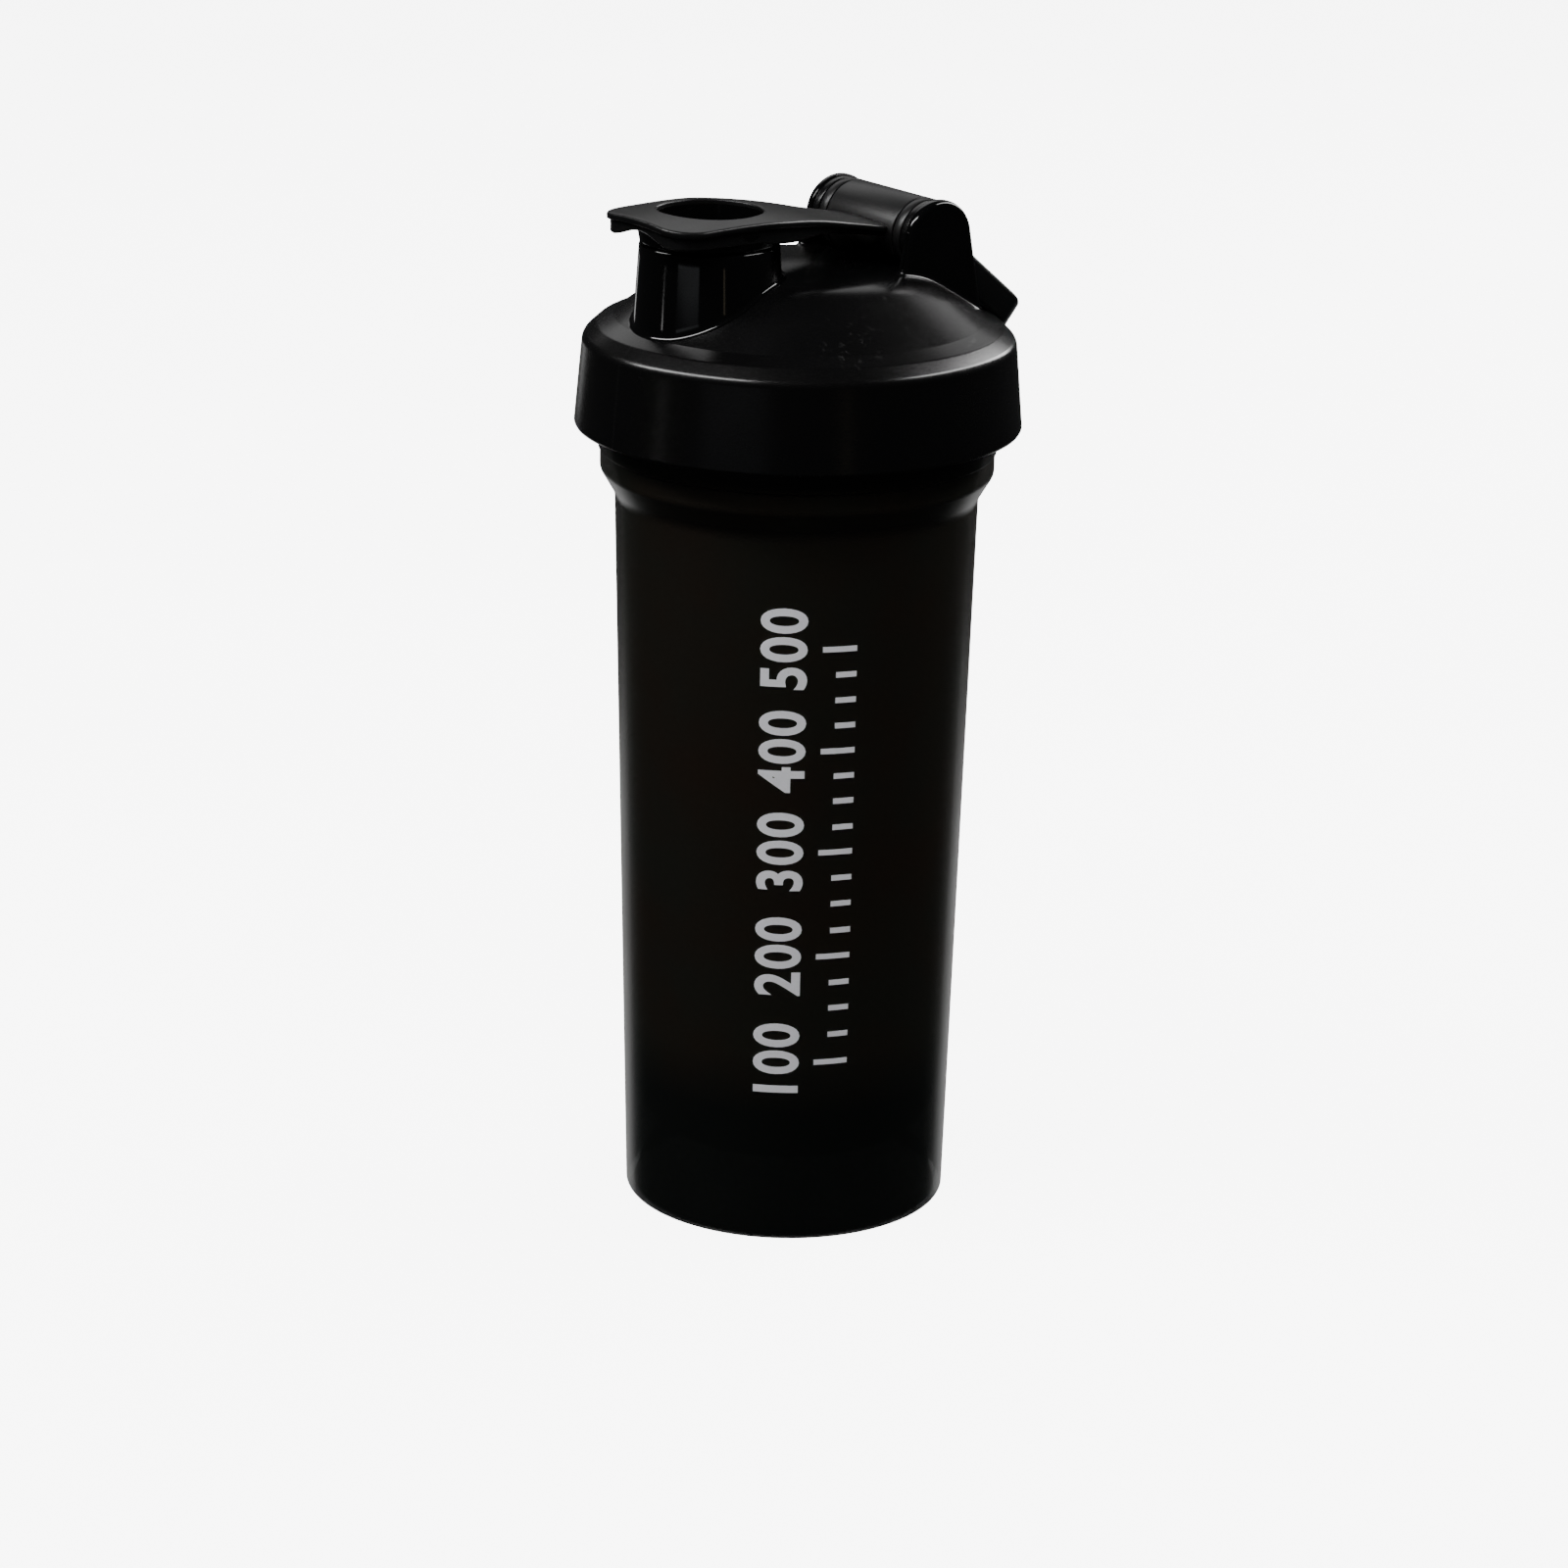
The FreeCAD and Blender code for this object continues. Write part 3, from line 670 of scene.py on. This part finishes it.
cupSizes = {"footRadius": 36.3, "taperTop": 40.0, "taperLevel": 163.2, "collarRadius": 43.3,
            "collarLevel": 168.8, "beadRadius": 43.7, "beadLevel": 173.4, "neckLevel": 180.5,
            "neckRadius": 43.0, "rimLevel": 197.0, "mouthRadius": 40.9, "wall": 1.8,
            "floorLevel": 15.0, "floorThick": 2.2, "floorRound": 13.0, "footWall": 2.2,
            "recessLean": 1.2, "recessLevel": 6, "bendRise": 3,
            "threadRadius": 43.4, "threadLevel": 185.6, "threadHalf": 1.9, "threadDepth": 1.8}


def cupOuterRadius(level):
    part = level / cupSizes["taperLevel"]
    return cupSizes["footRadius"] + (cupSizes["taperTop"] - cupSizes["footRadius"]) * part


def makeCup(s):
    underside = s["floorLevel"] - s["floorThick"]
    inner = s["footRadius"] - s["wall"]
    recess = s["footRadius"] - s["footWall"]
    outline = roundedPath([
        (0, underside, 0), (s["footRadius"] - s["floorRound"], underside, 4),
        (recess - s["recessLean"], s["recessLevel"], 5), (recess, 0, 0.5),
        (s["footRadius"], 0, 0.6),
        (s["taperTop"], s["taperLevel"], 5), (s["collarRadius"], s["collarLevel"], 2.4),
        (s["collarRadius"], s["beadLevel"], 0.25), (s["beadRadius"], s["beadLevel"], 0.4),
        (s["beadRadius"], s["neckLevel"], 0.5), (s["neckRadius"], s["neckLevel"], 0.2),
        (s["neckRadius"], s["rimLevel"], 0.5), (s["mouthRadius"], s["rimLevel"], 0.5),
        (s["mouthRadius"], s["collarLevel"] + s["bendRise"], 5),
        (s["taperTop"] - s["wall"], s["taperLevel"] - 1, 5),
        (inner, s["floorLevel"], 12), (0, s["floorLevel"], 0)], steps=8)
    points, faces = spun(evenly(outline, 6), 224)
    cup = makeMesh("cupShell", [(points, faces, smokeCup)])
    absorb(cup, makeRidge("neckThread", smokeCup, s["threadRadius"], s["threadLevel"],
                          s["threadHalf"], s["threadDepth"]))
    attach(cup, "cup_body")
    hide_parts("cup")


makeCup(cupSizes)
print("stage 4: cup made")


lidSizes = {"skirtLevel": 178.6, "skirtRadius": 48.7, "widest": 49.0, "widestLevel": 179.1,
            "shoulderRadius": 47.3, "shoulderLevel": 198.0, "crownRadius": 44.2,
            "crownLevel": 200.8, "valleyRadius": 40.5, "valleyLevel": 202.5,
            "domeRadius": 26.0, "domeLevel": 213.1, "domeTop": 214.8, "bore": 45.2,
            "skirtBore": 46.6, "seatLevel": 198.8, "seatInner": 40.0, "lipInner": 38.9,
            "lipLevel": 195.0, "roof": 2.9, "roofFoot": 3.8, "flareLevel": 181.0,
            "threadRadius": 44.6, "threadLevel": 183.5, "threadHalf": 1.8, "threadDepth": 1.6}
spoutSizes = {"y": -24.3, "bore": 13.5, "topRadius": 15.1, "footRadius": 16.4, "top": 221.2,
              "foot": 201.5, "blend": 0.9, "count": 200, "wallSteps": 12}
hingeSizes = {"y": 23.4, "z": 219.9, "barrel": 8.1, "barrelHalf": 11.9, "eyeInner": 12.2,
              "eyeOuter": 14.7, "bossInner": 15.0, "postInner": 17.0, "postOuter": 19.4,
              "postRadius": 8.5, "frontFoot": 11.2, "backFoot": 34.9, "footLevel": 204.0,
              "postRound": 1.3, "trough": 8.5, "flare": 0.9, "flareLean": 0.22,
              "peg": 2.4, "pegHalf": 17.5}


def lidOuterOutline(s):
    return roundedPath([
        (s["skirtRadius"], s["skirtLevel"], 0), (s["widest"], s["widestLevel"], 0.4),
        (s["shoulderRadius"], s["shoulderLevel"], 2.8), (s["crownRadius"], s["crownLevel"], 2.2),
        (s["valleyRadius"], s["valleyLevel"], 0.8),
        (s["domeRadius"], s["domeLevel"], 14.0),
        (0, s["domeTop"], 0)], closed=False, steps=14)


lidOuter = lidOuterOutline(lidSizes)


def domeAt(x, y):
    # height of the lid's outside above a point in plan
    radius = hypot(x, y)
    for (r0, z0), (r1, z1) in zip(lidOuter[::-1], lidOuter[-2::-1]):
        if r0 <= radius <= r1:
            return z0 + (z1 - z0) * (radius - r0) / max(1e-6, r1 - r0)
    return lidSizes["shoulderLevel"]


def bend(start, corner, end, steps=6):
    # points on a smooth curve from start to end that heads for the corner
    return [tuple(a * (1 - t) ** 2 + b * 2 * t * (1 - t) + c * t * t
                  for a, b, c in zip(start, corner, end))
            for t in (k / steps for k in range(steps + 1))]


def spoutShell(s):
    def wall(level):
        part = (level - s["foot"]) / (s["top"] - s["foot"])
        return s["footRadius"] + (s["topRadius"] - s["footRadius"]) * part

    columns = []
    for turn in range(s["count"]):
        angle = 2 * pi * turn / s["count"]
        way = (cos(angle), sin(angle))

        def at(radius, level):
            return (way[0] * radius, s["y"] + way[1] * radius, level)

        def roofAt(radius):
            return domeAt(way[0] * radius, s["y"] + way[1] * radius)

        foot = roofAt(s["footRadius"] - 0.3)
        for _ in range(4):
            foot = roofAt(wall(foot))
        ring = roundedPath([
            (s["bore"], s["top"] - 3, 0), (s["bore"], s["top"], 0.4),
            (s["topRadius"], s["top"], 0.6), (wall(s["top"] - 3), s["top"] - 3, 0)],
            closed=False, steps=6)
        column = [at(s["bore"], roofAt(s["bore"]) - 1.2)]
        column += [at(r, z) for r, z in ring]
        upper, lower = s["top"] - 3, foot + s["blend"]
        for k in range(1, s["wallSteps"]):
            level = upper + (lower - upper) * k / s["wallSteps"]
            column.append(at(wall(level), level))
        column += bend(at(wall(lower), lower), at(wall(foot), foot),
                       at(wall(foot) + s["blend"], roofAt(wall(foot) + s["blend"]) + 0.01))
        column.append(at(wall(foot) + s["blend"], roofAt(wall(foot) + s["blend"]) - 0.9))
        columns.append(column)
    return skin(columns, wrap=True)


def postOutline(s):
    # anticlockwise in the YZ plane: front foot, back foot, then over the round top
    edge = [(s["frontFoot"] - 0.9, s["footLevel"] - 4), (s["backFoot"] + 0.9, s["footLevel"] - 4)]
    arc = []
    for k in range(37):
        angle = radians(8) + (pi - radians(16)) * k / 36
        arc.append((s["y"] + s["postRadius"] * cos(angle), s["z"] + s["postRadius"] * sin(angle)))
    return evenly(edge + arc, 1.5)


def flareShell(s, side):
    # the blend where a post's foot meets the dome
    plan = evenly(roundedPath([
        (s["postInner"], s["frontFoot"] + 1.8, 0.9), (s["postOuter"], s["frontFoot"] + 1.8, 0.9),
        (s["postOuter"], s["backFoot"] - 0.3, 0.9), (s["postInner"], s["backFoot"] - 0.3, 0.9)],
        steps=5), 0.7)
    outer = inset(plan, -s["flare"])
    inner = inset(plan, 0.35)
    rings = []
    for (x, y), (bx, by), (ix, iy) in zip(plan, outer, inner):
        base = domeAt(x, y)
        lean = (y - by) * s["flareLean"]
        top = (x, y + lean, base + s["flare"])
        low = (bx, by, domeAt(bx, by) + 0.01)
        column = [(ix, iy + lean, top[2])] + bend(top, (x, y, base), low, 8)
        column += [(bx, by, low[2] - 1.0), (ix, iy, base - 1.0)]
        rings.append([(side * px, py, pz) for px, py, pz in column])
    return skin(rings, wrap=True)


def makeLid(s, spout, hinge):
    inside = [
        (0, s["domeTop"] - s["roof"], 0), (s["domeRadius"] - 1, s["domeLevel"] - s["roof"], 8),
        (s["lipInner"], s["valleyLevel"] - s["roofFoot"], 1), (s["lipInner"], s["lipLevel"], 0.3),
        (s["seatInner"], s["lipLevel"], 0.3), (s["seatInner"], s["seatLevel"], 0.1),
        (s["bore"], s["seatLevel"], 0.4), (s["bore"], s["flareLevel"], 0.5),
        (s["skirtBore"], s["skirtLevel"], 0)]
    outline = lidOuter + roundedPath(inside, closed=False, steps=5)
    points, faces = spun(evenly(outline, 4), 256)
    lid = makeMesh("lidShell", [(points, faces, satinLid)])
    hole = circle(spout["bore"] + 0.9, (0, spout["y"]), 128)
    holeTool = makeMesh("holeTool", [
        roundedPlate(hole, s["lipLevel"] + 1, spout["top"], 0.01, 0.01, upright) + (satinLid,)])
    trough = circle(hinge["trough"], (hinge["y"], hinge["z"]), 128)
    troughTool = makeMesh("troughTool", [
        roundedPlate(trough, -hinge["bossInner"], hinge["bossInner"], 0.01, 0.01, alongX)
        + (satinLid,)])
    carve(lid, [holeTool, troughTool])
    shells = [spoutShell(spout) + (glossLid,)]
    boss = circle(hinge["barrel"], (hinge["y"], hinge["z"]), 96)
    for side in (1, -1):
        def place(u, v, depth, side=side):
            return (side * depth, u, v)
        shells.append(roundedPlate(postOutline(hinge), hinge["postInner"], hinge["postOuter"],
                                   0.4, hinge["postRound"], place, 8) + (glossLid,))
        shells.append(roundedPlate(boss, hinge["bossInner"], hinge["postInner"] + 0.5,
                                   0.35, 0.1, place) + (satinLid,))
        shells.append(flareShell(hinge, side) + (satinLid,))
    absorb(lid, makeMesh("lidParts", shells))
    absorb(lid, makeRidge("lidThread", satinLid, s["threadRadius"], s["threadLevel"],
                          s["threadHalf"], s["threadDepth"]))
    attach(lid, "lid_body")
    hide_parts("lid_shell")


makeLid(lidSizes, spoutSizes, hingeSizes)
print("stage 5: lid made")


capSizes = {"front": -43.4, "half": 16.2, "padBack": -17.0, "corner": 7.5, "leverHalf": 10.2,
            "leverStart": 8.0, "leverEnd": 21.0, "waist": 34.0, "crown": 104.0, "thick": 1.5,
            "edge": 0.55, "lowEdge": 0.4, "skirtInset": 0.8, "skirtWall": 1.4,
            "skirtFoot": 0.25, "under": 223.2,
            "leverUnder": 218.9, "slopeStart": -5.0, "leverDrop": 1.0, "dropStart": -22.0,
            "dropRun": 22.0, "archHalf": 10.0, "archRise": 2.2, "archBack": -38.4,
            "hole": 11.4, "holeRound": 0.5, "recessFoot": 10.5, "recessLevel": 216.0,
            "plugTop": 12.9, "plugFoot": 12.1, "plugLevel": 214.5, "collarTop": 15.9,
            "collarFoot": 15.0, "collarLevel": 221.5, "sealLevel": 218.3, "sealHeight": 1.8,
            "sealGroove": 12.0, "recessTop": 227.1, "collarPeak": 226.8, "collarEdge": 0.9,
            "collarBend": 225.0, "collarLean": 0.3, "plugRise": 11.6, "rings": 26}
capSpine = [(-44.4, 228.1), (-34.0, 228.6), (-24.3, 228.85), (-17.0, 228.6), (-5.0, 226.9),
            (7.0, 224.3), (21.0, 221.7), (30.0, 220.5)]


def curveThrough(stops, place):
    # height of a smooth curve through the stops
    for i in range(len(stops) - 1):
        (a, low), (b, high) = stops[i], stops[i + 1]
        if place <= b or i == len(stops) - 2:
            width = b - a
            t = min(1, max(0, (place - a) / width))
            before = stops[max(0, i - 1)]
            after = stops[min(len(stops) - 1, i + 2)]
            slopeA = (high - before[1]) / (b - before[0]) * width
            slopeB = (after[1] - low) / (after[0] - a) * width
            return (low * (2 * t ** 3 - 3 * t ** 2 + 1) + slopeA * (t ** 3 - 2 * t ** 2 + t)
                    + high * (3 * t ** 2 - 2 * t ** 3) + slopeB * (t ** 3 - t ** 2))
    return stops[-1][1]


def capTop(x, y):
    return curveThrough(capSpine, y) - x * x / (2 * capSizes["crown"])


def capUnder(x, y):
    # level of the skirt's foot, which hangs lower beside the spout and arches at the front
    s = capSizes
    part = min(1, max(0, (y - s["slopeStart"]) / (s["leverEnd"] - s["slopeStart"])))
    level = s["under"] + (s["leverUnder"] - s["under"]) * part
    level -= s["leverDrop"] * sin(pi * min(1, max(0, (y - s["dropStart"]) / s["dropRun"])))
    if y < s["archBack"] and abs(x) < s["archHalf"]:
        level += s["archRise"] * cos(abs(x) / s["archHalf"] * pi / 2) ** 1.5
    return level


def capPlate(s):
    centre = (0, spoutSizes["y"])
    right = [(s["half"], s["front"], s["corner"]), (s["half"], s["padBack"], s["waist"]),
             (s["leverHalf"], s["leverStart"], s["waist"]), (s["leverHalf"], s["leverEnd"], 0)]
    left = [(-u, v, r) for u, v, r in reversed(right)]
    outline = evenly(roundedPath(right + left, steps=16), 0.75)
    ways = []
    for u, v in outline:
        reach = hypot(u - centre[0], v - centre[1])
        ways.append(((u - centre[0]) / reach, (v - centre[1]) / reach))

    def hole(radius):
        return [(centre[0] + a * radius, centre[1] + b * radius) for a, b in ways]

    def lifted(plan, drop=0.0):
        return [(u, v, capTop(u, v) - drop) for u, v in plan]

    def spread(first, second, count, drop):
        rings = []
        for k in range(1, count):
            t = k / count
            rings.append(lifted([(a + (c - a) * t, b + (d - b) * t)
                                 for (a, b), (c, d) in zip(first, second)], drop))
        return rings

    rings = []
    roll = s["holeRound"]
    for k in range(7):
        angle = pi / 2 * k / 6
        rings.append(lifted(hole(s["hole"] + roll * (1 - cos(angle))), roll * (1 - sin(angle))))
    edge = s["edge"]
    rings += spread(hole(s["hole"] + roll), inset(outline, edge), s["rings"], 0)
    for k in range(7):
        angle = pi / 2 * k / 6
        rings.append(lifted(inset(outline, edge * (1 - sin(angle))), edge * (1 - cos(angle))))
    low = s["lowEdge"]
    for k in range(1, 5):
        angle = pi / 2 * k / 4
        rings.append(lifted(inset(outline, low * (1 - cos(angle))),
                            s["thick"] - low + low * sin(angle)))
    outer, inner = s["skirtInset"], s["skirtInset"] + s["skirtWall"]
    foot = s["skirtFoot"]
    rings.append(lifted(inset(outline, outer), s["thick"]))
    for amount, rise in ((outer, foot), (outer + foot, 0), (inner - foot, 0), (inner, foot)):
        rings.append([(u, v, capUnder(u, v) + rise) for u, v in inset(outline, amount)])
    inner = inset(outline, inner)
    rings.append(lifted(inner, s["thick"]))
    rings += spread(inner, hole(s["hole"]), 8, s["thick"])
    rings.append(lifted(hole(s["hole"]), s["thick"]))
    return skin(rings, wrap=True)


def plugShell(s):
    # the plug cup and its collar, with the groove for the seal
    centre = spoutSizes["y"]
    grooveTop = s["sealLevel"] + s["sealHeight"]

    def plugAt(level):
        part = (level - s["plugLevel"]) / s["plugRise"]
        return s["plugFoot"] + (s["plugTop"] - s["plugFoot"]) * part

    outline = roundedPath([
        (0, s["recessLevel"], 0), (s["recessFoot"], s["recessLevel"], 0.8),
        (s["hole"] - 0.02, s["recessTop"], 0),
        (s["collarTop"] - s["collarEdge"], s["collarPeak"], 0),
        (s["collarTop"] - s["collarLean"], s["collarBend"], 0.2),
        (s["collarFoot"], s["collarLevel"], 0.5),
        (plugAt(s["collarLevel"]), s["collarLevel"], 0.4), (plugAt(grooveTop), grooveTop, 0.1),
        (s["sealGroove"], grooveTop, 0.1), (s["sealGroove"], s["sealLevel"], 0.1),
        (plugAt(s["sealLevel"]), s["sealLevel"], 0.1), (s["plugFoot"], s["plugLevel"], 0.6),
        (0, s["plugLevel"], 0)], closed=False, steps=6)
    return spun(evenly(outline, 2.5), 160, (0, centre))


def makeFlipCap(s, hinge):
    barrel = circle(hinge["barrel"], (hinge["y"], hinge["z"]), 128)
    peg = circle(hinge["peg"], (hinge["y"], hinge["z"]), 32)
    shells = [capPlate(s) + (satinCap,), plugShell(s) + (glossLid,),
              roundedPlate(barrel, -hinge["barrelHalf"], hinge["barrelHalf"], 0.3, 0.3, alongX)
              + (satinCap,),
              roundedPlate(peg, -hinge["pegHalf"], hinge["pegHalf"], 0.3, 0.3, alongX)
              + (satinCap,)]
    cap = makeMesh("flipCap", shells)
    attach(cap, "cap_body")
    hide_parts("flip_cap")


makeFlipCap(capSizes, hingeSizes)
print("stage 6: flip cap made")


loopSizes = {"reach": 34.4, "up": 4.0, "down": 3.4, "bar": 3.2, "corner": 6.0, "innerCorner": 2.8,
             "tilt": -39.5, "edge": 1.2, "hole": 2.6, "eyeRound": 0.35, "eyeStep": 0.1}


def makeCarryLoop(s, hinge):
    tilt = radians(s["tilt"])

    def place(u, v, depth):
        # u across, v along the loop away from the axle, depth up from its middle
        return (u, hinge["y"] + v * cos(tilt) - depth * sin(tilt),
                hinge["z"] + v * sin(tilt) + depth * cos(tilt))

    outer, inner = hinge["eyeOuter"], hinge["eyeInner"]
    band = evenly(roundedPath([
        (outer, 0, 0), (outer, s["reach"], s["corner"]), (-outer, s["reach"], s["corner"]),
        (-outer, 0, 0), (-inner, 0, 0), (-inner, s["reach"] - s["bar"], s["innerCorner"]),
        (inner, s["reach"] - s["bar"], s["innerCorner"]), (inner, 0, 0)], steps=10), 1.2)
    shells = [roundedPlate(band, -s["down"], s["up"], s["edge"], s["edge"], place, 6)
              + (satinCap,)]
    rim = circle(hinge["barrel"], (hinge["y"], hinge["z"]), 96)
    bore = circle(s["hole"], (hinge["y"], hinge["z"]), 96)
    full, part = s["eyeRound"], s["eyeStep"]
    for side in (1, -1):
        rings = []
        for amount, depth in ((full, inner), (part, inner + part), (0, inner + full),
                              (0, outer - full), (part, outer - part), (full, outer)):
            rings.append([(side * depth, u, v) for u, v in inset(rim, amount)])
        rings.append([(side * outer, u, v) for u, v in bore])
        rings.append([(side * inner, u, v) for u, v in bore])
        shells.append(skin(rings, wrap=True) + (satinCap,))
    loop = makeMesh("carryLoop", shells)
    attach(loop, "loop_body")
    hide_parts("carry_loop")


makeCarryLoop(loopSizes, hingeSizes)
print("stage 7: carry loop made")


markSizes = {"bearing": 58.0, "fromMl": 100, "toMl": 500, "stepMl": 100, "digitHeight": 9.8,
             "squeeze": 0.84, "digitShift": -4.6, "capitalShare": 0.72, "bolder": 0.35,
             "spacing": 1.12, "curveSteps": 6, "tickShift": 7.0, "longTick": 7.6,
             "shortTick": 4.6, "tickThick": 1.25, "tickColumns": 14, "tickParts": 4,
             "lift": 0.05, "longEdge": 1.5, "edgeCuts": 3}


def innerRadius(level):
    s = cupSizes
    straight = cupOuterRadius(level) - s["wall"]
    depth = level - s["floorLevel"]
    if depth < s["floorRound"]:
        short = s["floorRound"] - depth
        straight -= s["floorRound"] - (s["floorRound"] ** 2 - short ** 2) ** 0.5
    return straight


def levelOf(volume):
    # height at which the cup holds this many millilitres
    level, held, step = cupSizes["floorLevel"], 0.0, 0.25
    while held < volume:
        held += pi * innerRadius(level) ** 2 * step / 1000
        level += step
    return level


def wrapped(across, level, lift):
    # a point on the cup's outside, across from the marks' centre line
    radius = cupOuterRadius(level)
    angle = radians(markSizes["bearing"]) + across / radius
    return ((radius + lift) * sin(angle), -(radius + lift) * cos(angle), level)


def buildTicks(given, step):
    size = step("ShaderNodeCombineXYZ", {
        "X": given["Width"], "Y": given["Thickness"], "Z": given["Height"]})
    bar = step("GeometryNodeMeshCube", {
        "Size": size.outputs[0], "Vertices X": markSizes["tickColumns"]})
    spread = step("GeometryNodeInstanceOnPoints", {
        "Points": given["Geometry"], "Instance": bar.outputs["Mesh"]})
    return spread.outputs[0]


def flatTicks(name, tree, levels, width, shift):
    # bars at these levels, still flat: across is X and level is Z, both in metres
    holder = runTree(name, tree, {
        "Width": width * mm, "Height": markSizes["tickThick"] * mm,
        "Thickness": 2 * markSizes["lift"] * mm, "Finish": inkGrey},
        [(shift * mm, 0, level * mm) for level in levels])
    mesh = holder.data
    bpy.data.objects.remove(holder)
    return mesh


def flatNumber(volume, level):
    # a number that reads upwards, still flat
    text = bpy.data.curves.new(str(volume), "FONT")
    text.body = str(volume)
    text.align_x = "CENTER"
    text.align_y = "CENTER"
    text.size = markSizes["digitHeight"] / markSizes["capitalShare"] * mm
    text.extrude = markSizes["lift"] * mm
    text.offset = markSizes["bolder"] * mm
    text.space_character = markSizes["spacing"]
    text.resolution_u = markSizes["curveSteps"]
    holder = bpy.data.objects.new("number", text)
    bpy.context.scene.collection.objects.link(holder)
    mesh = bpy.data.meshes.new_from_object(
        holder.evaluated_get(bpy.context.evaluated_depsgraph_get()))
    bpy.data.objects.remove(holder)
    for point in mesh.vertices:
        u, v, depth = point.co
        point.co = (-v + markSizes["digitShift"] * mm, -depth,
                    u * markSizes["squeeze"] + level * mm)
    mesh.materials.clear()
    mesh.materials.append(inkGrey)
    return mesh


def makeMarks(s):
    tree = newTree("volumeTicks", ("Width", "Height", "Thickness"), buildTicks)
    volumes = range(s["fromMl"], s["toMl"] + 1, s["stepMl"])
    longLevels = [levelOf(v) for v in volumes]
    between = [v + s["stepMl"] * part / s["tickParts"] for v in volumes for part in (-1, 1, 2)]
    shortLevels = [levelOf(v) for v in between if s["fromMl"] <= v <= s["toMl"]]
    flat = [flatTicks("longTicks", tree, longLevels, s["longTick"], s["tickShift"]),
            flatTicks("shortTicks", tree, shortLevels, s["shortTick"],
                      s["tickShift"] + (s["longTick"] - s["shortTick"]) / 2)]
    flat += [flatNumber(v, level) for v, level in zip(volumes, longLevels)]
    joined = bmesh.new()
    for mesh in flat:
        joined.from_mesh(mesh)
        bpy.data.meshes.remove(mesh)
    bmesh.ops.remove_doubles(joined, verts=joined.verts, dist=0.001 * mm)
    longEdges = [e for e in joined.edges if e.calc_length() > s["longEdge"] * mm]
    bmesh.ops.subdivide_edges(joined, edges=longEdges, cuts=s["edgeCuts"])
    bmesh.ops.triangulate(joined, faces=joined.faces)
    for point in joined.verts:
        across, depth, level = (c / mm for c in point.co)
        point.co = Vector(wrapped(across, level, -depth)) * mm
    bmesh.ops.recalc_face_normals(joined, faces=joined.faces)
    mesh = bpy.data.meshes.new("volumeMarks")
    joined.to_mesh(mesh)
    joined.free()
    mesh.materials.append(inkGrey)
    smoothMesh(mesh)
    marks = bpy.data.objects.new("volumeMarks", mesh)
    bpy.context.scene.collection.objects.link(marks)
    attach(marks, "cup_body")


makeMarks(markSizes)
print("stage 8: volume marks made")


def coat(node, material):
    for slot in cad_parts[node].material_slots:
        slot.material = material


coat("neck_gasket", softSeal)
coat("spout_seal", softSeal)
coat("whisk_ball", steelWire)
print("stage 9: seals and whisk ball coated")
